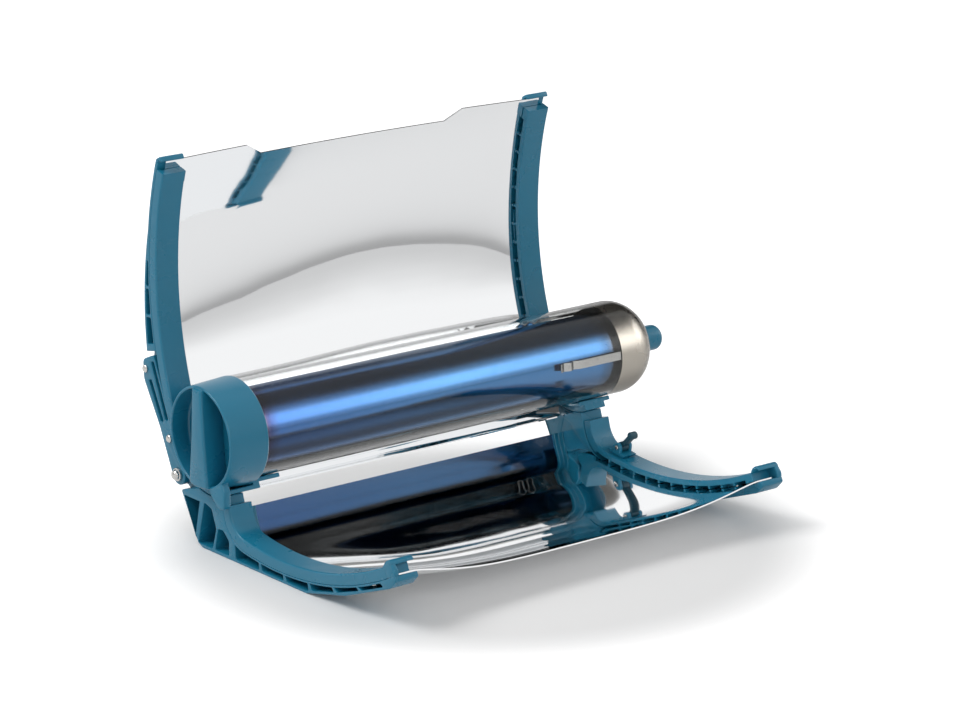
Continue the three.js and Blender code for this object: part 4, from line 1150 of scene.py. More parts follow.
@dataclass
class Panel:
    """A mirror sheet as a grid over a wing's curve."""

    curve: WingCurve
    columns: list[float]
    rows: int
    front: Callable[[float], float]
    turn_row: float
    end: float
    narrow_from: float
    narrow: Point2
    sag: Callable[[float, float], float] = lambda x, run: 0.0
    bow: Callable[[float, float], float] = lambda x, run: 0.0

    def cast(self, place: TubePlace, name: str, look: Look) -> Piece:
        """Makes the sheet.

        Args:
            place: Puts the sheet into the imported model's frame.
            name: The object's name.
            look: Its look.

        Returns:
            The sheet, with its thickness behind the front face.
        """
        shares = [k / 8 for k in range(9)]
        rest = [self.turn_row + (self.end - self.turn_row) * k / self.rows for k in range(1, self.rows + 1)]
        split = min(range(len(rest)), key=lambda k: abs(rest[k] - self.narrow_from))
        rest[split] = self.narrow_from
        mesh = bmesh.new()
        grid = []
        for x in self.columns:
            first = self.front(x)
            runs = [first + (self.turn_row - first) * share for share in shares] + rest
            points = [self.curve.at(run).at(LAYOUT.sheet_depth + self.bow(x, run)) for run in runs]
            grid.append([mesh.verts.new((x, y, z - self.sag(x, run))) for run, (y, z) in zip(runs, points)])
        runs = [self.turn_row] * len(shares) + rest
        for i in range(len(self.columns) - 1):
            middle = (self.columns[i] + self.columns[i + 1]) / 2
            for j in range(len(runs) - 1):
                inside = self.narrow[0] < middle < self.narrow[1]
                if inside or runs[j + 1] <= self.narrow_from + 1e-6:
                    mesh.faces.new((grid[i][j], grid[i + 1][j], grid[i + 1][j + 1], grid[i][j + 1]))
        bmesh.ops.delete(mesh, geom=[v for v in mesh.verts if not v.link_faces], context="VERTS")
        mesh.transform(place.matrix)
        mesh.normal_update()
        piece = land(name, mesh)
        piece.data.materials.append(look.material)
        depth = piece.modifiers.new("thickness", "SOLIDIFY")
        depth.thickness = LAYOUT.sheet_thickness * MM
        station = self.curve.at(self.turn_row)
        facing = piece.data.polygons[0].normal.dot(Vector((0.0, station.ny, station.nz)))
        depth.offset = 1.0 if facing > 0 else -1.0
        freeze(piece)
        checked = bmesh.new()
        checked.from_mesh(piece.data)
        bmesh.ops.recalc_face_normals(checked, faces=checked.faces)
        checked.to_mesh(piece.data)
        checked.free()
        smooth(piece, 30)
        return piece


def spread(start: float, end: float, count: int, extra: Sequence[float] = ()) -> list[float]:
    """Evenly spread values, with some more put in."""
    values = {round(start + (end - start) * k / count, 5) for k in range(count + 1)}
    return sorted(values | {round(value, 5) for value in extra})


# Strips


@dataclass
class Strip:
    """A channel strip with ladder walls, bosses and end blocks."""

    curve: WingCurve
    first: float
    last: float
    screw_cells: tuple[int, ...]
    hand: Hand
    corner: float = 1.3

    def section(self, start: float, end: float, near: float, far: float) -> list[Point2]:
        """A section between two distances from the rib's outer face and between two depths."""
        outer, inner = LAYOUT.faces(self.hand, start, end)
        return [(outer, near), (inner, near), (inner, far), (outer, far)]

    def channel(self) -> list[Point2]:
        """The open section: front flange and outer band, with a soft outer corner."""
        wide, deep = LAYOUT.rib_width, LAYOUT.rib_depth - 0.05
        corner = arc_round((self.corner,) * 2, (self.corner,) * 2, 180, 270, 6)
        points = [
            *corner, (wide - 0.5, 0.0), (wide, 0.5), (wide, LAYOUT.flange_wall),
            (LAYOUT.band_wall + 0.6, LAYOUT.flange_wall), (LAYOUT.band_wall, LAYOUT.flange_wall + 0.6),
            (LAYOUT.band_wall, deep), (0.3, deep), (0.0, deep - 0.3),
        ]
        return [(LAYOUT.across(self.hand, d), depth) for d, depth in points]

    def pour(self, mould: Mould) -> None:
        """Adds the channel, its end blocks and its bosses."""
        mould.sweep(self.curve.stretch(self.first, self.last), self.channel())
        inset = 0.05
        depth = LAYOUT.strip_thickness - inset
        wide = LAYOUT.rib_width - inset
        ends = [
            (self.first + inset, LAYOUT.cell_start(self.first, 0)),
            (LAYOUT.cell_start(self.first, LAYOUT.ladder_cells), self.last - inset),
        ]
        for start, end in ends:
            mould.sweep(self.curve.stretch(start, end), self.section(1.0, wide, inset, depth))
        for cell in self.screw_cells:
            start, end = (LAYOUT.cell_start(self.first, index) for index in (cell, cell + 1))
            mould.sweep(self.curve.stretch(start, end), self.section(1.0, LAYOUT.boss_inset, 1.0, depth))

    def walls(self, place: TubePlace) -> list[Spot]:
        """Places of the ladder's cross walls."""
        result = []
        reach = LAYOUT.rib_width - LAYOUT.band_wall
        middle = LAYOUT.across(self.hand, LAYOUT.band_wall + reach / 2 - 0.3)
        depth = (LAYOUT.flange_wall + LAYOUT.strip_thickness) / 2 - 0.15
        for k in range(LAYOUT.ladder_cells + 1):
            station = self.curve.at(LAYOUT.cell_start(self.first, k))
            y, z = station.at(depth)
            turn = Euler((math.atan2(station.nz, station.ny), 0.0, 0.0))
            size = Vector((reach - 0.2, LAYOUT.strip_thickness - LAYOUT.flange_wall, LAYOUT.ladder_wall))
            result.append((place.point(middle, y, z), turn, size * MM))
        return result


def wall_item() -> Piece:
    """A plain block of unit size, for the ladder's walls."""
    mesh = bmesh.new()
    bmesh.ops.create_cube(mesh, size=1.0)
    return land("wall_item", mesh)


# Lower wing


@dataclass
class Assembly:
    """A part of the oven, with the place of its pieces and their looks."""

    place: TubePlace
    finishes: Finishes


@dataclass
class Wing(Assembly):
    """What both wings share."""

    repeater: Repeater

    def ladders(self, name: str, body: str, strips: Sequence[Strip]) -> None:
        """Sets out the cross walls of a wing's strips."""
        places = [spot for strip in strips for spot in strip.walls(self.place)]
        walls = self.repeater.set_out(name, wall_item(), self.finishes.teal, places)
        fit(walls, body, "teal_plastic")


@dataclass
class LowerWing(Wing):
    """Stand of the oven: ribs, strips, mirror and saddles."""

    shape: LowerShape = field(default_factory=LowerShape)
    screw_cells: tuple[int, ...] = (1, 9)
    lug_radius: float = 7.0
    lug_width: float = 10.4
    hook_length: float = 7.0
    hook_rise: float = 3.0
    hook_wall: float = 1.7
    hook_shares: Points = ((-0.12, 0.0), (0.2, 0.72), (0.72, 1.0), (1.0, 0.35))
    cheek: Points = ((-2.0, 0.2), (1.2, 1.8), (4.2, 2.4), (6.6, 1.0), (8.4, -4.2), (7.4, -7.4), (-2.0, -6.75),)
    cheek_reach: Point2 = (0.05, 3.4)
    sheet_start: float = 3.0
    sheet_crown: float = 4.6
    saddle_angles: Point2 = (-116.0, -72.0)
    saddle_step: float = 4.5
    saddle_clear: float = 0.5
    saddle_left_length: float = 19.5
    saddle_right_overhang: float = 3.5

    def rib(self, hand: Hand) -> None:
        """One rib with its pockets, window, foot and hinge lug."""
        shape = self.shape
        curve = shape.curve()
        mould = Mould(self.place)
        wide = LAYOUT.rib_width
        pockets = [rounded(outline, 1.4) for outline in shape.pockets(curve)]
        window = rounded([shape.in_block(share) for share in shape.window], 1.2)
        outline = rounded(shape.outline(curve), 1.6)
        faces = LAYOUT.faces(hand, 0.0, wide)
        mould.plate(outline, *faces, holes=[*pockets, window], edge=0.45)
        web = LAYOUT.faces(hand, wide - LAYOUT.web, wide - 0.25)
        mould.plate(outline, *web, holes=[window], edge=0.1, shrink=0.5)
        hy, hz = LAYOUT.hinge
        lug = [(hy + y, hz + z) for y, z in arc_points(self.lug_radius, -100, 190, 40)]
        lug.append(polar(LAYOUT.seat_radius + shape.top_wall, shape.seat_rear_angle))
        lug.append(shape.in_block((0.72, 0.75)))
        bore = [(hy + y, hz + z) for y, z in arc_points(LAYOUT.rod_radius + 0.2, 0, 345, 23)]
        ends = LAYOUT.faces(hand, wide - self.lug_width, wide - 0.08)
        mould.plate(lug, *ends, holes=[bore], edge=0.5)
        mould.fix(f"lower_rib_{hand.value}", self.finishes.teal, "base")

    def strip(self, hand: Hand) -> Strip:
        """One strip with the loop over the sheet's corner."""
        curve = self.shape.curve()
        first = self.shape.nose_length
        strip = Strip(curve, first, curve.length, self.screw_cells, hand)
        mould = Mould(self.place)
        strip.pour(mould)
        root = curve.at(first)
        outer = [(a * self.hook_length, b * self.hook_rise) for a, b in self.hook_shares]
        inner = [(a, b - self.hook_wall) for a, b in outer]
        loop = [root.ahead(a, b) for a, b in (*outer, *reversed(inner))]
        ends = LAYOUT.faces(hand, 0.1, LAYOUT.rib_width - 0.1)
        mould.plate(rounded(loop, 1.4, 6), *ends, edge=0.5)
        cheek = [root.ahead(a, b) for a, b in self.cheek]
        ends = LAYOUT.faces(hand, *self.cheek_reach)
        mould.plate(rounded(cheek, 1.6, 6), *ends, edge=0.7)
        mould.fix(f"lower_strip_{hand.value}", self.finishes.teal, "base")
        return strip

    def mirror(self) -> None:
        """The reflector sheet."""
        curve = self.shape.sheet_curve()
        left, right = LAYOUT.both(LAYOUT.sheet_inset)
        narrow = LAYOUT.both(LAYOUT.rib_width + LAYOUT.sheet_clear)
        faces = LAYOUT.both(LAYOUT.rib_width)
        half = (right - left) / 2
        arc_end = self.shape.arc_length

        def front(x: float) -> float:
            """Run length of the front edge, cut back in the middle."""
            return self.sheet_start + self.sheet_crown * (1 - ((x - LAYOUT.rib_middle) / half) ** 2)

        panel = Panel(
            curve, spread(left, right, 72, (*narrow, *faces)), 90, front, 14.0, curve.length,
            arc_end, narrow, lambda x, run: self.shape.sag_at(x - LAYOUT.rib_middle, arc_end - run),
        )
        piece = panel.cast(self.place, "lower_mirror_sheet", self.finishes.mirror)
        fit(piece, "base", "mirror_sheet", "lower_mirror")

    def saddles(self) -> None:
        """The curved seats under the tube, the left one stepped round the cap."""
        seat = LAYOUT.glass_radius + LAYOUT.gap
        thick = LAYOUT.seat_radius - LAYOUT.gap
        clear, wall = thick - LAYOUT.saddle_wall, seat + LAYOUT.saddle_wall
        step = LAYOUT.mouth_x + LAYOUT.cap_lap + self.saddle_clear
        rise, rest = step + self.saddle_step, step + self.saddle_left_length
        start, end = LAYOUT.both(LAYOUT.gap)
        left = [
            (start, clear), (step, clear), (step, seat), (rest, seat),
            (rest, wall), (rise, wall), (rise, thick), (start, thick),
        ]
        overhang = LAYOUT.rib_width + self.saddle_right_overhang
        inside, outside, shoulder = LAYOUT.faces(Hand.RIGHT, overhang, -self.saddle_step, LAYOUT.rib_width)
        right = [
            (inside, seat), (outside, seat), (outside, wall), (end, wall),
            (end, thick), (shoulder, thick), (shoulder, wall), (inside, wall),
        ]
        for hand, profile in ((Hand.LEFT, left), (Hand.RIGHT, right)):
            mould = Mould(self.place).sector(profile, *self.saddle_angles, steps=40)
            mould.fix(f"saddle_{hand.value}", self.finishes.teal, "base", edge=0.6)

    def build(self) -> None:
        """Makes the whole stand."""
        strips = []
        for hand in Hand:
            self.rib(hand)
            strips.append(self.strip(hand))
        self.ladders("lower_ladder_walls", "base", strips)
        self.mirror()
        self.saddles()


# Upper wing


@dataclass
class UpperWing(Wing):
    """The folding wing: ribs, strips, mirror and hinge arms."""

    shape: UpperShape = field(default_factory=UpperShape)
    screw_cells: tuple[int, ...] = (1, 6)
    hook_clear: float = 1.1
    hook_wall: float = 2.3
    hook_corner: float = 3.0
    hook_front: float = 3.7
    bow_height: float = 1.8
    dish_height: float = 3.4
    bow_shares: Points = ((0.0, 0.3), (0.6, 1.0), (1.0, 0.6))
    notch_depth: float = 7.0
    notch_bottom: float = 68.0
    notch_top: float = 80.0
    arm_thickness: float = 5.0
    arm_length: float = 71.0
    arm_top_z: float = 34.9
    arm_standoff: float = 15.32
    arm_front: float = 4.4
    arm_lug: float = 6.4
    arm_heel: float = 11.6
    arm_heel_share: float = 0.845
    arm_waist: float = 7.4
    arm_waist_length: float = 30.0
    slot_width: float = 3.3
    slot_start: float = 32.0
    slots: tuple[Point3, ...] = ((-1.5, -1.5, 67.5), (3.6, 5.6, 58.0))
    arm_screws: Points = ((21.5, 0.0), (65.0, 6.6))
    root_gap: float = 4.4
    cell_root_gap: float = 2.5
    tongue_root: float = 15.0

    def on_arm(self, point: Point2) -> Point2:
        """A point of the arm's own frame: along it from the hinge, and across towards the back."""
        hy, hz = LAYOUT.hinge
        top = self.shape.at_height(self.arm_top_z).y + self.arm_standoff
        along = Vector((top - hy, self.arm_top_z - hz)).normalized()
        return hy + along.x * point[0] + along.y * point[1], hz + along.y * point[0] - along.x * point[1]

    @property
    def root_z(self) -> float:
        """Height of the rib's lower end."""
        return self.on_arm((self.arm_length, -self.arm_front))[1] + self.root_gap

    def back_depth(self, z: float) -> float:
        """Depth of the rib's back, deeper towards the arm."""
        top = self.shape.tip_z - self.shape.truss_top_drop
        share = min(1.0, max(0.0, (top - z) / (top - self.root_z)))
        rim = self.shape.rim_depth
        return LAYOUT.rib_depth + rim + (LAYOUT.truss_depth - rim) * share

    def arm_outline(self, inset: float) -> list[Point2]:
        """The arm's corners above its lug."""
        heel = self.arm_length * self.arm_heel_share
        return [
            (self.arm_length - inset, -self.arm_front + inset), (self.arm_length - inset, self.arm_waist - inset),
            (heel, self.arm_heel - inset), (self.arm_waist_length, self.arm_waist - inset),
        ]

    def rib(self, hand: Hand) -> None:
        """One rib with its open cells, tip hook and tongue."""
        shape = self.shape
        curve = shape.curve()
        root = shape.at_height(self.root_z)
        rim = curve.stretch(0.0, root.s)
        inner = [station.at(LAYOUT.rib_depth) for station in rim]
        back = [station.at(self.back_depth(station.z)) for station in rim]
        deep, over = LAYOUT.rib_depth + shape.rim_depth, self.hook_clear + self.hook_wall
        corner = self.hook_corner
        hook = [
            (over - corner, deep), (over, deep - corner), (over, self.hook_front + corner / 2),
            (over - corner / 2, self.hook_front), (self.hook_clear, self.hook_front),
            (self.hook_clear, LAYOUT.rib_depth),
        ]
        curl = [rim[0].ahead(-ahead, -depth) for ahead, depth in hook]
        outline = rounded([*curl, *inner, *reversed(back[1:])], 1.5)
        top = shape.tip_z - shape.cell_drop
        low = self.root_z + self.cell_root_gap
        pitch = (top - low) / shape.cells
        pockets = []
        for i in range(shape.cells):
            upper = shape.at_height(top - pitch * i)
            lower = shape.at_height(top - pitch * (i + 1) + shape.cell_wall)
            wall = shape.cell_wall
            near = [station.at(LAYOUT.rib_depth + wall) for station in (upper, lower)]
            far = [station.at(self.back_depth(station.z) - wall) for station in (lower, upper)]
            pockets.append(rounded([*near, *far], 1.2))
        wide = LAYOUT.rib_width
        mould = Mould(self.place)
        faces = LAYOUT.faces(hand, 0.0, wide)
        mould.plate(outline, *faces, holes=pockets, edge=0.4)
        spine = [shape.at_height(z) for z in (top + 6.0, low)]
        web = [spine[0].at(LAYOUT.rib_depth + 0.5), spine[1].at(LAYOUT.rib_depth + 0.5)]
        web += [station.at(self.back_depth(station.z) - 0.5) for station in reversed(spine)]
        mould.prism(web, *LAYOUT.faces(hand, wide - LAYOUT.web, wide - 0.25))
        start = self.arm_thickness + LAYOUT.gap
        tongue = [
            *self.arm_outline(1.0), (self.tongue_root, self.arm_waist - 1.0),
            (self.tongue_root, 1.0 - self.arm_front),
        ]
        ends = LAYOUT.faces(hand, start, wide - 0.1)
        mould.plate(rounded([self.on_arm(point) for point in tongue], 2.0), *ends, edge=0.5)
        heel = self.arm_length * self.arm_heel_share
        bridge = [
            inner[-1], back[-1], self.on_arm((heel, self.arm_heel - 1.0)), self.on_arm((heel, 1.0 - self.arm_front)),
        ]
        mould.plate(bridge, *LAYOUT.faces(hand, start + 0.1, wide - 0.18), edge=0.3)
        mould.fix(f"upper_rib_{hand.value}", self.finishes.teal, "upper_wing")

    def arm(self, hand: Hand) -> None:
        """One slotted hinge arm."""
        lug = arc_points(self.arm_lug, 90, 270, 24)
        outline = [self.on_arm(point) for point in (*self.arm_outline(0.0), *lug)]
        half = self.slot_width / 2
        start, holes = self.slot_start, []
        for low, high, far in self.slots:
            slot = [(start, low - half), (far, high - half), (far, high + half), (start, low + half)]
            holes.append(rounded([self.on_arm(point) for point in slot], 1.4))
        hy, hz = LAYOUT.hinge
        holes.append([(hy + y, hz + z) for y, z in arc_points(LAYOUT.rod_radius + 0.2, 0, 345, 23)])
        faces = LAYOUT.faces(hand, 0.0, self.arm_thickness)
        mould = Mould(self.place).plate(rounded(outline, 2.5), *faces, holes=holes, edge=0.6)
        mould.fix(f"hinge_arm_{hand.value}", self.finishes.teal, "upper_wing")

    def strip(self, hand: Hand) -> Strip:
        """One strip."""
        curve = self.shape.curve()
        strip = Strip(curve, self.shape.strip_start, curve.length, self.screw_cells, hand)
        mould = Mould(self.place)
        strip.pour(mould)
        mould.fix(f"upper_strip_{hand.value}", self.finishes.teal, "upper_wing")
        return strip

    def mirror(self) -> None:
        """The reflector sheet with its notch and its wrap round the tube's back."""
        curve = self.shape.sheet_curve()
        left, right = LAYOUT.both(LAYOUT.sheet_inset)
        narrow = LAYOUT.both(LAYOUT.rib_width + LAYOUT.sheet_clear)
        middle = LAYOUT.rib_middle

        def front(x: float) -> float:
            """Run length of the top edge, lower in the notch."""
            away = abs(x - middle)
            share = min(1.0, max(0.0, (self.notch_top - away) / (self.notch_top - self.notch_bottom)))
            return self.notch_depth * share

        clamped = LAYOUT.rib_span / 2 - LAYOUT.rib_width
        arc_end = self.shape.curve().length

        def bow(x: float, run: float) -> float:
            """How far the sheet bows off its ribs, back above and forward below."""
            across = (x - middle) / clamped
            share = 0.0
            for (a, low), (b, high) in zip(self.bow_shares, self.bow_shares[1:]):
                t = min(1.0, max(0.0, ((across + 1) / 2 - a) / (b - a)))
                share += (high - low) * t * t * (3 - 2 * t)
            share += self.bow_shares[0][1]
            held = max(0.0, 1 - across**8)
            down = min(1.0, run / arc_end)
            wave = self.bow_height * share * held * math.sin(2 * math.pi * down)
            return wave + self.dish_height * max(0.0, 1 - across**2) * (1 - down)

        corners = [middle + sign * d for sign in (-1, 1) for d in (self.notch_bottom, self.notch_top)]
        panel = Panel(
            curve, spread(left, right, 64, (*narrow, *corners)), 120, front, 26.0, curve.length,
            arc_end, narrow, bow=bow,
        )
        piece = panel.cast(self.place, "upper_mirror_sheet", self.finishes.mirror)
        fit(piece, "upper_wing", "mirror_sheet", "upper_mirror")

    def build(self) -> None:
        """Makes the whole wing."""
        strips = []
        for hand in Hand:
            self.rib(hand)
            self.arm(hand)
            strips.append(self.strip(hand))
        self.ladders("upper_ladder_walls", "upper_wing", strips)
        self.mirror()


# Glass tube


@dataclass
class GlassTube(Assembly):
    """The evacuated tube and what its ends carry."""

    wall: float = 1.8
    tip_radius: float = 3.0
    tip_length: float = 9.0
    absorber_radius: float = 23.5
    absorber_wall: float = 1.6
    dome_length: float = 24.0
    dome_spacing: float = 14.6
    mouth_ring: float = 4.5
    rim_bulge: float = 2.4
    protector_radius: float = 8.0
    protector_length: float = 16.2
    protector_round: float = 4.5
    film_start: float = 127.0
    film_inset: float = 1.3
    clip_bend: float = 14.0
    clip_angle: float = 174.0
    clip_width: float = 5.0
    clip_thickness: float = 0.6
    clip_length: float = 46.2
    clip_end: float = 15.0
    clip_wave: float = 2.0
    hub_radius: float = 5.5
    clip_glass_gap: float = 0.35
    getter_radius: float = 5.9
    getter_reach: Point2 = (0.7, 0.9)

    @property
    def dome_centre(self) -> float:
        """X of the outer dome's centre."""
        return LAYOUT.dome_end - self.dome_length

    @property
    def absorber_centre(self) -> float:
        """X of the inner dome's centre."""
        return LAYOUT.dome_end - self.dome_spacing - self.absorber_radius

    @staticmethod
    def dome(centre: float, radius: float, start: float = 0.0, flat: float = 1.0) -> list[Point2]:
        """Profile of a dome from near its pole to its rim, flattened along X by a share."""
        return [(centre + x * flat, max(0.0, r)) for x, r in arc_points(radius, start, 90, 24)]

    def outer_dome(self, inset: float, start: float = 0.0) -> list[Point2]:
        """Profile of the outer dome at a distance inside its surface."""
        radius = LAYOUT.glass_radius - inset
        return self.dome(self.dome_centre, radius, start, (self.dome_length - inset) / radius)

    def outer(self) -> None:
        """The clear outer glass with its drawn-out tip."""
        radius = LAYOUT.glass_radius
        inner = radius - self.wall
        start = math.degrees(math.asin((self.tip_radius + 1.5) / radius))
        end = LAYOUT.dome_end + self.tip_length
        tip = arc_round((end - self.tip_radius, 0.0), (self.tip_radius,) * 2, 0, 90, 6)
        neck = [(LAYOUT.dome_end + 2.5, self.tip_radius), (LAYOUT.dome_end + 0.6, self.tip_radius + 0.4)]
        profile = [
            *tip, *neck, *self.outer_dome(0.0, start), (LAYOUT.mouth_x + 0.5, radius),
            (LAYOUT.mouth_x, radius - 0.5), (LAYOUT.mouth_x, inner), *reversed(self.outer_dome(self.wall)),
        ]
        Mould(self.place).turn(profile, 128).fix("outer_glass", self.finishes.glass, "glass_tube")

    def absorber(self) -> None:
        """The coated inner tube."""
        inner = self.absorber_radius - self.absorber_wall
        profile = [
            *self.dome(self.absorber_centre, self.absorber_radius), (LAYOUT.mouth_x, self.absorber_radius),
            (LAYOUT.mouth_x, inner), *reversed(self.dome(self.absorber_centre, inner)),
        ]
        Mould(self.place).turn(profile, 128).fix("absorber_tube", self.finishes.coat, "glass_tube")

    def rim(self) -> None:
        """The fused rim between the two glasses."""
        outer = LAYOUT.glass_radius - self.wall - 0.1
        inner = self.absorber_radius + 0.1
        middle, half = (outer + inner) / 2, (outer - inner) / 2
        bulge = arc_round((LAYOUT.mouth_x + self.rim_bulge, middle), (self.rim_bulge, half), 90, 270, 10)
        profile = [*bulge, (LAYOUT.mouth_x + self.mouth_ring, inner), (LAYOUT.mouth_x + self.mouth_ring, outer)]
        mould = Mould(self.place).turn(profile, 128, closed=True)
        fit(mould.cast("mouth_rim", self.finishes.glass), "glass_tube", "clear_glass", "tube_mouth_ring")

    def film(self) -> None:
        """The silvery getter film under the outer dome."""
        near = self.film_inset
        far = near + 0.1
        profile = [
            *self.outer_dome(near, 6.0), (self.film_start, LAYOUT.glass_radius - near),
            (self.film_start, LAYOUT.glass_radius - far), *reversed(self.outer_dome(far, 6.0)),
        ]
        mould = Mould(self.place).turn(profile, 128, closed=True)
        fit(mould.cast("getter_film_shell", self.finishes.film), "glass_tube", "steel")

    def protector(self) -> None:
        """The moulded stub over the sealed tip."""
        bore = self.tip_radius + 0.3
        seat = LAYOUT.glass_radius + 0.25
        end = LAYOUT.dome_end + self.protector_length
        radius = self.protector_radius

        def on_dome(r: float) -> float:
            """X of the stub's seat on the dome at a radius."""
            return self.dome_centre + (self.dome_length + 0.25) * math.sqrt(1 - (r / seat) ** 2)

        soft = self.protector_round
        nose = arc_round((end - soft, radius - soft), (soft, soft), 0, 90, 9)
        floor = LAYOUT.dome_end + self.tip_length + LAYOUT.gap
        profile = [(end, 0.0), *nose, (on_dome(radius), radius), (on_dome(bore), bore), (floor, bore), (floor, 0.0)]
        mould = Mould(self.place).turn(profile, 64)
        fit(mould.cast("tip_stub", self.finishes.teal), "glass_tube", "teal_plastic", "tip_protector")

    def clip(self) -> None:
        """The spring clip: three legs along the outer glass that end in a wave."""
        hub = self.absorber_radius + 0.3
        run = LAYOUT.glass_radius - self.wall - self.clip_glass_gap - self.clip_thickness
        start = self.absorber_centre - self.clip_length
        wave = []
        for k in range(41):
            share = k / 40
            dip = self.clip_wave * (0.5 - 0.5 * math.cos(share * 4 * math.pi)) * (1 - 0.25 * share)
            wave.append((start + self.clip_end * (1 - share), run - dip))
        rise = [(self.absorber_centre + x, r) for x, r in arc_points(hub, 5, 58, 14)]
        ease = []
        for k in range(1, 9):
            t = k / 8
            x = rise[-1][0] + (self.absorber_centre + self.clip_bend - rise[-1][0]) * t
            ease.append((x, rise[-1][1] + (run - rise[-1][1]) * (3 * t * t - 2 * t**3)))
        line = [*rise, *ease, (self.absorber_centre - 5.0, run), *wave]
        mould = Mould(self.place)
        half = self.clip_width / 2
        for k in range(3):
            turn = Matrix.Rotation(math.radians(self.clip_angle + 120 * k - 90), 3, "X")
            loops = []
            for x, r in line:
                top = r + self.clip_thickness
                ring = [(x, -half, r), (x, half, r), (x, half, top), (x, -half, top)]
                loops.append([turn @ Vector(point) for point in ring])
            mould.skin(loops)
        end = self.absorber_centre + self.absorber_radius
        mould.turn(bar(end + 0.3, end + 0.95, self.hub_radius), 48)
        mould.fix("support_clip", self.finishes.steel, "glass_tube")

    def getter(self) -> None:
        """The getter's ring on the clip's hub."""
        x = self.absorber_centre + self.absorber_radius + 1.9
        tube = arc_round((x, self.getter_radius), self.getter_reach, 0, 330, 11)
        mould = Mould(self.place).turn(tube, 64, closed=True)
        mould.fix("getter_ring", self.finishes.steel, "glass_tube")

    def build(self) -> None:
        """Makes the whole tube."""
        self.outer()
        self.absorber()
        self.rim()
        self.film()
        self.protector()
        self.clip()
        self.getter()


# Food tray with its cap


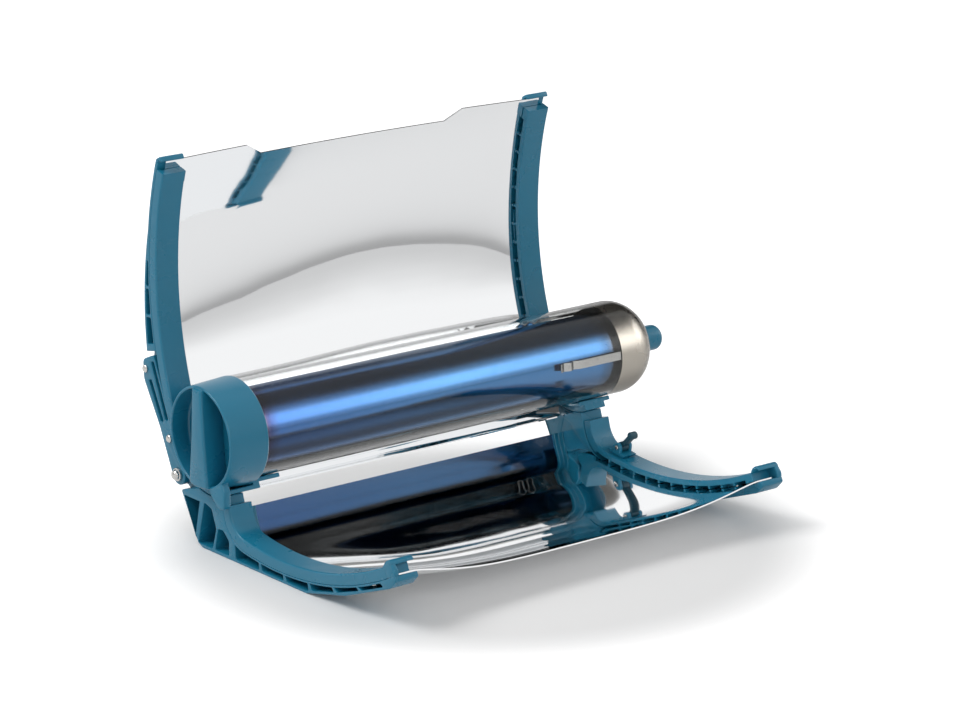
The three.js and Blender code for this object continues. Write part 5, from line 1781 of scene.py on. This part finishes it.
@dataclass
class FoodTray(Assembly):
    """The handle cap, its seal and plug, and the food tray."""

    cap_depth: float = 17.7
    cap_flare: float = 1.7
    rim_wall: float = 1.9
    end_wall: float = 3.0
    recess_round: float = 2.0
    skirt_round: float = 1.2
    seal: float = 2.0
    grip_depth: float = 14.4
    grip_half: Point3 = (4.5, 6.3, 9.2)
    tongue_thickness: float = 5.2
    tongue_corners: Points = ((35.5, 230.0), (44.0, 239.0), (43.0, 246.0))
    plug_radius: float = 20.3
    plug_length: float = 13.0
    seal_lip: float = 0.9
    seal_length: float = 6.0
    absorber_bore: float = 21.9
    tray_radius: float = 19.4
    tray_wall: float = 0.9
    roll_radius: float = 0.75
    tray_shortfall: float = 69.8
    tray_arc: Point2 = (186.0, 354.0)
    rivet_spacing: float = 16.0
    rivet_drop: float = 12.0
    rivet_head: Point2 = (1.2, 3.0)
    rivet_shaft: Point2 = (8.0, 1.5)

    def cap(self) -> None:
        """The cap with its finger recesses, grip bar and tongue."""
        front = LAYOUT.mouth_x - self.cap_depth
        rear = LAYOUT.mouth_x + LAYOUT.cap_lap
        wall = LAYOUT.mouth_x - self.seal - 2 * LAYOUT.gap
        floor = wall - self.end_wall
        skirt = LAYOUT.glass_radius + LAYOUT.gap + LAYOUT.cap_skirt_wall
        bore = LAYOUT.glass_radius + LAYOUT.gap
        recess = LAYOUT.glass_radius + self.cap_flare - self.rim_wall
        rim = self.rim_wall / 2
        inner, outer = self.recess_round, self.skirt_round
        nose = arc_round((front + rim, recess + rim), (rim, rim), 270, 90, 12)
        fillet = arc_round((floor - inner, recess - inner), (inner, inner), 0, 90, 6)
        lip = arc_round((rear - outer, skirt - outer), (outer, outer), 90, 0, 6)
        profile = [(floor, 0.0), *fillet, *nose, *lip, (rear, bore), (wall, bore), (wall, 0.0)]
        mould = Mould(self.place).turn(profile, 128)
        reach = recess + rim
        high, middle, low = self.grip_half
        top, bottom = (math.degrees(math.asin(half / reach)) for half in (high, low))
        grip = [
            *arc_points(reach, 90 - top, 90 + top, 6), (-middle, 0.0),
            *arc_points(reach, 270 - bottom, 270 + bottom, 8), (middle, 0.0),
        ]
        mould.plate(grip, floor - self.grip_depth, floor + 1.0, edge=1.6)
        ends = [polar(radius, angle) for radius, angle in self.tongue_corners]
        tongue = [*arc_points(recess + self.rim_wall / 3, 260, 228, 5), *ends]
        mould.plate(rounded(tongue, 2.0, 5), front + 0.1, front + self.tongue_thickness, edge=0.9)
        mould.fix("handle_cap", self.finishes.teal, "food_tray")

    def seal_ring(self) -> None:
        """The silicone seal with its lip inside the tube."""
        start = LAYOUT.mouth_x - self.seal - LAYOUT.gap
        lip = self.absorber_bore - LAYOUT.gap
        inner = lip - self.seal_lip
        rear, outer = start + self.seal, LAYOUT.glass_radius
        end = rear + self.seal_length
        profile = [(start, inner), (start, outer), (rear, outer), (rear, lip), (end, lip), (end, inner)]
        mould = Mould(self.place).turn(profile, 96, closed=True)
        mould.fix("cap_seal", self.finishes.silicone, "food_tray", edge=0.2)

    def plug(self) -> None:
        """The insulating plug."""
        start = LAYOUT.mouth_x - self.seal - LAYOUT.gap
        end = start + self.plug_length
        mould = Mould(self.place).turn(bar(start, end, self.plug_radius), 96)
        mould.fix("cap_plug", self.finishes.dark, "food_tray", edge=0.6)

    def pan(self) -> None:
        """The food tray: a long trough with closed ends and rolled long edges."""
        start = LAYOUT.mouth_x - self.seal + self.plug_length
        length = LAYOUT.dome_end - LAYOUT.mouth_x - self.tray_shortfall
        end = start + length
        inner = self.tray_radius - self.tray_wall
        mould = Mould(self.place)
        trough = [(start, inner), (end, inner), (end, self.tray_radius), (start, self.tray_radius)]
        mould.sector(trough, *self.tray_arc, steps=64)
        plate = arc_points(self.tray_radius - 0.45, *self.tray_arc, 64)
        mould.prism(plate, start + 0.05, start + self.tray_wall)
        mould.prism(plate, end - self.tray_wall, end - 0.05)
        for angle in self.tray_arc:
            centre = polar(self.tray_radius - 0.6, angle)
            mould.turn(bar(start, end, self.roll_radius), 20, centre)
        mould.fix("tray_pan", self.finishes.tray, "food_tray")

    def rivets(self) -> None:
        """The two rivets between tray and plug."""
        head = LAYOUT.mouth_x - self.seal + self.plug_length + LAYOUT.gap + self.tray_wall
        for k, y in enumerate((-self.rivet_spacing / 2, self.rivet_spacing / 2), 1):
            dome = arc_round((head, 0.0), self.rivet_head, 90, 0, 6)
            length, radius = self.rivet_shaft
            profile = [(head - length, 0.0), (head - length, radius), (head, radius), *dome]
            mould = Mould(self.place).turn(profile, 40, (y, -self.rivet_drop))
            piece = mould.cast(f"rivet_{k}_form", self.finishes.steel)
            fit(piece, "food_tray", "steel", f"tray_rivet_{k}")

    def build(self) -> None:
        """Makes the cap and everything that slides out with it."""
        self.cap()
        self.seal_ring()
        self.plug()
        self.pan()
        self.rivets()


# Hinge, screws and catch


@dataclass
class Hinge(Assembly):
    """The hinge rod with its sleeve and domed nuts."""

    rod_end: float = 3.4
    sleeve_wall: float = 1.2
    nut_radius: float = 3.9
    nut_length: float = 4.2

    def build(self) -> None:
        """Makes the hinge's metal pieces."""
        hinge = LAYOUT.hinge
        left, right = LAYOUT.both(-self.rod_end)
        radius = LAYOUT.rod_radius
        rod = Mould(self.place).turn(bar(left, right, radius), 32, hinge)
        rod.fix("hinge_rod", self.finishes.steel, "base")
        start, end = LAYOUT.both(LAYOUT.rib_width + LAYOUT.gap)
        inner = radius + LAYOUT.gap
        outer = inner + self.sleeve_wall
        ring = [(start, inner), (start, outer), (end, outer), (end, inner)]
        sleeve = Mould(self.place).turn(ring, 40, hinge, closed=True)
        sleeve.fix("hinge_sleeve", self.finishes.steel, "base", edge=0.2)
        for hand in Hand:
            self.nut(hand)

    def nut(self, hand: Hand) -> None:
        """One domed nut on the rod's end."""
        seat = LAYOUT.across(hand, -LAYOUT.gap)
        flange = [(0.0, 0.0), (0.0, self.nut_radius), (1.1, self.nut_radius)]
        dome = arc_round((1.4, 0.0), (self.nut_length - 1.4, self.nut_radius - 0.7), 90, 0, 9)
        profile = [(seat + hand.outward * x, r) for x, r in (*flange, *dome)]
        mould = Mould(self.place).turn(profile, 48, LAYOUT.hinge)
        mould.fix(f"hinge_nut_{hand.value}", self.finishes.steel, "base")


@dataclass
class Screws(Assembly):
    """Pan-head screws behind the strips and through the arms."""

    repeater: Repeater
    lower: LowerWing
    upper: UpperWing
    head_radius: float = 2.3
    head_height: float = 1.4
    shaft_radius: float = 1.2
    strip_shaft: float = 6.4
    arm_shaft: float = 13.4

    def item(self, shaft: float) -> Piece:
        """A pan-head screw in millimetres, head up and shaft down."""
        mesh = bmesh.new()
        profile = [(0.0, self.head_height), (0.9, self.head_height), (1.7, self.head_height * 0.82),
                   (self.head_radius, self.head_height * 0.35), (self.head_radius, 0.0),
                   (self.shaft_radius, 0.0), (self.shaft_radius, -shaft), (0.0, -shaft)]
        loops = [
            [(*polar(radius, 15 * k), height) for k in range(24)] if radius else [(0.0, 0.0, height)]
            for radius, height in profile
        ]
        shell(mesh, loops)
        bmesh.ops.recalc_face_normals(mesh, faces=mesh.faces)
        return land("screw_item", mesh)

    def spot(self, x: float, point: Point2, direction: Vector) -> Spot:
        """Place, turn and size of one screw."""
        turn = direction.to_track_quat("Z", "Y").to_euler()
        return self.place.point(x, *point), turn, Vector((MM, MM, MM))

    def build(self) -> None:
        """Sets out the screws of both wings."""
        spots: dict[str, list[Spot]] = {"low": [], "high": [], "side": []}
        names: dict[str, list[str]] = {label: [] for label in spots}

        def add(label: str, name: str, spot: Spot) -> None:
            """Notes one screw."""
            names[label].append(name)
            spots[label].append(spot)

        lower, upper = self.lower.shape, self.upper.shape
        wings = (
            ("low", "lower", self.lower.screw_cells, lower.curve(), lower.nose_length, lambda z: lower.top_wall),
            ("high", "upper", self.upper.screw_cells, upper.curve(), upper.strip_start, upper.back_wall),
        )
        for hand in Hand:
            x = LAYOUT.across(hand, LAYOUT.screw_inset)
            for label, wing, cells, curve, first, wall in wings:
                for k, cell in enumerate(cells, 1):
                    station = curve.at(LAYOUT.cell_start(first, cell + 0.5))
                    point = station.at(LAYOUT.rib_depth + wall(station.z) + LAYOUT.gap)
                    spot = self.spot(x, point, Vector((0.0, station.ny, station.nz)))
                    add(label, f"{wing}_strip_screw_{hand.value}_{k}", spot)
            seat, outward = LAYOUT.across(hand, -LAYOUT.gap), Vector((hand.outward, 0.0, 0.0))
            for k, point in enumerate(self.upper.arm_screws, 1):
                add("side", f"arm_screw_{hand.value}_{k}", self.spot(seat, self.upper.on_arm(point), outward))
        groups = (
            ("low", "base", self.strip_shaft), ("high", "upper_wing", self.strip_shaft),
            ("side", "upper_wing", self.arm_shaft),
        )
        for label, body, shaft in groups:
            item = self.item(shaft)
            piece = self.repeater.set_out(f"{label}_screws", item, self.finishes.steel, spots[label])
            fit(piece, body, "steel", *names[label])


@dataclass
class Catch(Assembly):
    """The small catch on the lower right strip."""

    shape: LowerShape
    angle: float = -81.5
    length: float = 15.0
    width: float = 10.0
    height: float = 2.4
    ear_width: float = 2.2
    ear_radius: float = 2.9
    pin_height: float = 5.4
    pin_radius: float = 1.3
    pin_end: float = 0.8
    hub_radius: float = 3.0
    lever_length: float = 12.5
    lever_width: float = 5.0
    lever_thickness: float = 2.6
    knob_radius: float = 2.4
    lever_angle: float = 135.0

    def on_strip(self, along: float, up: float) -> Point2:
        """A point in the catch's own frame on the strip."""
        ny, nz = polar(1.0, self.angle)
        cy, cz = self.shape.neck_centre
        y, z = cy + ny * self.shape.neck_radius, cz + nz * self.shape.neck_radius
        return y - nz * along - ny * up, z + ny * along - nz * up

    def build(self) -> None:
        """Makes base, pin and lever."""
        x = LAYOUT.across(Hand.RIGHT, LAYOUT.rib_width / 2)
        half = self.width / 2
        pin = self.on_strip(-self.length / 2, self.pin_height)
        mould = Mould(self.place)
        curve = self.shape.curve()
        near = [station for station in curve.stations if abs(station.s - self.shape.arc_length) < 60]
        top_front = self.on_strip(-self.length, self.height)
        top_rear = self.on_strip(0.0, self.height)
        under = [station.at(-0.3) for station in near if top_front[0] < station.at(-0.3)[0] < top_rear[0]]
        mould.plate([top_front, *under, top_rear], x - half, x + half, edge=0.3)
        bore = [(pin[0] + y, pin[1] + z) for y, z in arc_points(self.pin_radius + 0.1, 0, 330, 11)]
        half_round = arc_points(self.ear_radius, 0, 180, 16)
        ear = [self.on_strip(a - self.length / 2, u + self.pin_height) for a, u in half_round]
        ear += [self.on_strip(sign * self.ear_radius - self.length / 2, self.height / 2) for sign in (-1, 1)]
        for start in (x - half, x + half - self.ear_width):
            mould.plate(ear, start + 0.05, start + self.ear_width - 0.05, holes=[bore], edge=0.4)
        mould.fix("latch_base", self.finishes.teal, "base")
        reach = half + self.pin_end
        rod = Mould(self.place).turn(bar(x - reach, x + reach, self.pin_radius), 32, pin)
        rod.fix("latch_pin", self.finishes.steel, "base", edge=0.2)
        self.lever(x, pin)

    def lever(self, x: float, pin: Point2) -> None:
        """The lever with its hub and knob."""
        turn = math.radians(self.lever_angle)

        def swung(point: Point2) -> Point2:
            """A point of the lever's own frame, swung to its rest angle."""
            y, z = point
            return (
                pin[0] + y * math.cos(turn) - z * math.sin(turn),
                pin[1] + y * math.sin(turn) + z * math.cos(turn),
            )

        mould = Mould(self.place)
        half, thick = self.lever_width / 2, self.lever_thickness / 2
        hub = arc_points(self.hub_radius, 30, 330, 24)
        knob = [(self.lever_length + y, z) for y, z in arc_points(self.knob_radius, -148, 148, 20)]
        outline = [swung(point) for point in (*hub, (2.4, -thick), *knob, (2.4, thick))]
        bore = [swung(point) for point in arc_points(self.pin_radius + 0.15, 0, 330, 11)]
        mould.plate(outline, x - half, x + half, holes=[bore], edge=0.6)
        mould.fix("latch_lever", self.finishes.dark, "latch")


# Studio


@dataclass(frozen=True)
class Lamp:
    """A soft rectangular lamp that faces the oven."""

    name: str
    place: Point3
    size: Point2
    power: float
    aim: Point3 = (0.0, 0.0, 0.1)

    def light(self) -> None:
        """Adds the lamp to the scene."""
        data = bpy.data.lights.new(self.name, "AREA")
        data.shape = "RECTANGLE"
        data.size, data.size_y = self.size
        data.energy = self.power
        lamp = link(self.name, data)
        lamp.location = self.place
        lamp.rotation_euler = (Vector(self.aim) - Vector(self.place)).to_track_quat("-Z", "Y").to_euler()


@dataclass
class Studio:
    """Floor, world, lamps and camera."""

    place: TubePlace
    azimuth: float = -38.6
    elevation: float = 16.08
    lens: float = 145.7
    sensor: float = 36.0
    view_end: float = 50.0
    eye: Point3 = (-1379.0, -1777.0, 664.0)
    ambient: float = 0.42
    mirror_stops: Points = ((0.0, 0.66), (0.03, 0.71), (0.07, 0.82), (0.1, 0.95), (0.125, 1.0), (1.0, 1.0))
    tube_stops: Points = (
        (0.0, 0.3), (0.05, 0.42), (0.09, 0.95), (0.2, 1.0), (0.27, 0.32), (0.36, 0.05), (0.41, 0.01), (1.0, 0.01),
    )
    tube_gain: float = 2.3
    deep_gain: float = 0.5
    back_stops: Points = ((0.0, 1.0), (0.59, 1.0), (0.64, 0.08), (0.82, 0.08), (0.88, 1.0), (1.0, 1.0))
    floor_radius: float = 6.0
    # Floor tone, and a painted darker tone for views mirrored twice through glass: painted shade.
    floor_tone_and_deep_painted_shade: Point2 = (0.8, 0.16)
    # Middle and reach of a painted shade round the oven, where the floor's glow is held back.
    shade_middle: Point3 = (-0.03, -0.03, 0.0)
    shade_reach: Point2 = (0.155, 0.235)
    # Floor glow inside the painted shade and away from it.
    glow: Point2 = (0.03, 0.6)
    # Reach and strength of a painted glow on the floor near the oven, seen only in mirrors: painted light.
    mirror_painted_glow_reach: Point2 = (0.3, 2.2)
    mirror_painted_glow: Point2 = (0.13, 0.0)
    lamps: tuple[Lamp, ...] = (
        Lamp("key", (-1.3, 0.7, 1.7), (1.3, 1.0), 26.0), Lamp("front", (-0.6, -2.2, 1.3), (1.6, 1.0), 14.0),
        Lamp("right", (2.0, -0.6, 1.0), (1.0, 1.0), 6.0),
    )

    def camera(self) -> None:
        """The camera at the photograph's viewing angle."""
        data = bpy.data.cameras.new("view")
        data.sensor_width = self.sensor
        data.lens = self.lens
        data.clip_end = self.view_end
        view = link("view", data)
        a, e = math.radians(self.azimuth), math.radians(self.elevation)
        back = Vector((math.sin(a) * math.cos(e), -math.cos(a) * math.cos(e), math.sin(e)))
        view.location = self.place.point(*self.eye)
        view.rotation_euler = (-back).to_track_quat("-Z", "Y").to_euler()
        bpy.context.scene.camera = view

    @staticmethod
    def paths(bench: Bench) -> dict[str, Socket]:
        """What kind of ray arrives, as numbers of zero or one.

        Args:
            bench: The bench on the tree that reads them.

        Returns:
            "seen" for camera, mirror and glass rays, "mirrored" for rays off a mirror or a coat, "tube" for
            those that also passed glass, and "deep" for rays that were mirrored twice and passed glass.
        """
        path = bench.node("ShaderNodeLightPath").outputs
        some = bench.math("MAXIMUM", path["Is Camera Ray"], path["Is Glossy Ray"])
        mirrored = bench.math("MINIMUM", path["Glossy Depth"], 1.0)
        glass = bench.math("MINIMUM", path["Transmission Depth"], 1.0)
        twice = bench.math("GREATER_THAN", path["Glossy Depth"], 1.5)
        return {
            "seen": bench.math("MAXIMUM", some, path["Is Transmission Ray"]), "mirrored": mirrored,
            "tube": bench.math("MULTIPLY", mirrored, glass), "deep": bench.math("MULTIPLY", twice, glass),
        }

    def world(self) -> None:
        """White where the camera looks, soft grey rising to white for mirrors, and banded for the tube."""
        world = bpy.data.worlds.new("studio")
        world.use_nodes = True
        bpy.context.scene.world = world
        nodes = world.node_tree.nodes
        bench = Bench(world.node_tree)
        rays = self.paths(bench)
        place = bench.node("ShaderNodeTexCoord").outputs["Generated"]
        parts = bench.node("ShaderNodeSeparateXYZ", {"Vector": place}).outputs
        angle = bench.math("ARCTAN2", parts["Z"], bench.math("MULTIPLY", parts["Y"], -1.0))
        turn = bench.math("DIVIDE", angle, math.pi)
        sky, back = bench.greys(parts["Z"], self.mirror_stops), bench.greys(turn, self.back_stops)
        strength = bench.blend(rays["mirrored"], 1.0, bench.math("MULTIPLY", sky, back))
        gain = bench.blend(rays["deep"], self.tube_gain, self.deep_gain)
        tube = bench.math("MULTIPLY", bench.greys(turn, self.tube_stops), gain)
        strength = bench.blend(rays["tube"], strength, tube)
        sight = bench.node("ShaderNodeBackground", {"Color": WHITE, "Strength": strength})
        base = nodes["Background"]
        base.inputs["Color"].default_value = WHITE
        base.inputs["Strength"].default_value = self.ambient
        feeds = {"Fac": rays["seen"], 1: base.outputs["Background"], 2: sight.outputs["Background"]}
        mix = bench.node("ShaderNodeMixShader", feeds)
        bench.join(mix.outputs["Shader"], nodes["World Output"].inputs["Surface"])

    def floor(self) -> None:
        """A pale floor that fades to white away from the oven and keeps its shadow; round the oven its glow is held
        back as painted shade, mirrors see a painted glow near the oven, and views mirrored twice through glass see a
        painted darker tone.
        """
        mesh = bmesh.new()
        bmesh.ops.create_circle(mesh, cap_ends=True, segments=96, radius=self.floor_radius)
        piece = land("floor", mesh)
        paint = Paint("pale_floor")
        bench = paint.bench
        rays = self.paths(bench)
        away = bench.node("ShaderNodeVectorMath", {0: bench.place(), 1: self.shade_middle}, operation="SUBTRACT")
        length = bench.node("ShaderNodeVectorMath", {0: away.outputs["Vector"]}, operation="LENGTH").outputs["Value"]
        # Painted shade: the glow is held back in a disc round the oven.
        far = bench.span(length, *self.shade_reach, interpolation_type="SMOOTHSTEP")
        # Painted light: mirrors, but not views through the glass, see the floor glow near the oven.
        near = bench.span(length, *self.mirror_painted_glow_reach, interpolation_type="SMOOTHSTEP")
        mirrored_painted_glow = bench.blend(rays["tube"], bench.blend(near, *self.mirror_painted_glow), 0.0)
        painted_floor_glow = bench.blend(rays["mirrored"], bench.blend(far, *self.glow), mirrored_painted_glow)
        material = paint.set(
            # Painted shade: the floor's tone drops in views mirrored twice through glass.
            Base_Color=bench.blend(rays["deep"], *self.floor_tone_and_deep_painted_shade),
            Roughness=0.7,
            Specular_IOR_Level=0.2,
            Emission_Color=WHITE,
            Emission_Strength=bench.math("MULTIPLY", painted_floor_glow, rays["seen"]),
        )
        piece.data.materials.append(material)

    def build(self) -> None:
        """Sets up the studio."""
        self.camera()
        self.world()
        self.floor()
        for lamp in self.lamps:
            lamp.light()
        bpy.context.scene.view_settings.view_transform = "Standard"


def main() -> None:
    """Builds the oven piece by piece."""
    logging.basicConfig(level=logging.INFO, format="%(name)s: %(message)s")
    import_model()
    place = TubePlace(LAYOUT.mouth_x)
    Studio(place).build()
    finishes = Finishes()
    repeater = Repeater()
    lower = LowerWing(place, finishes, repeater)
    upper = UpperWing(place, finishes, repeater)
    lower.build()
    upper.build()
    GlassTube(place, finishes).build()
    FoodTray(place, finishes).build()
    Hinge(place, finishes).build()
    Screws(place, finishes, repeater, lower, upper).build()
    Catch(place, finishes, lower.shape).build()


if __name__ == "__main__":
    main()
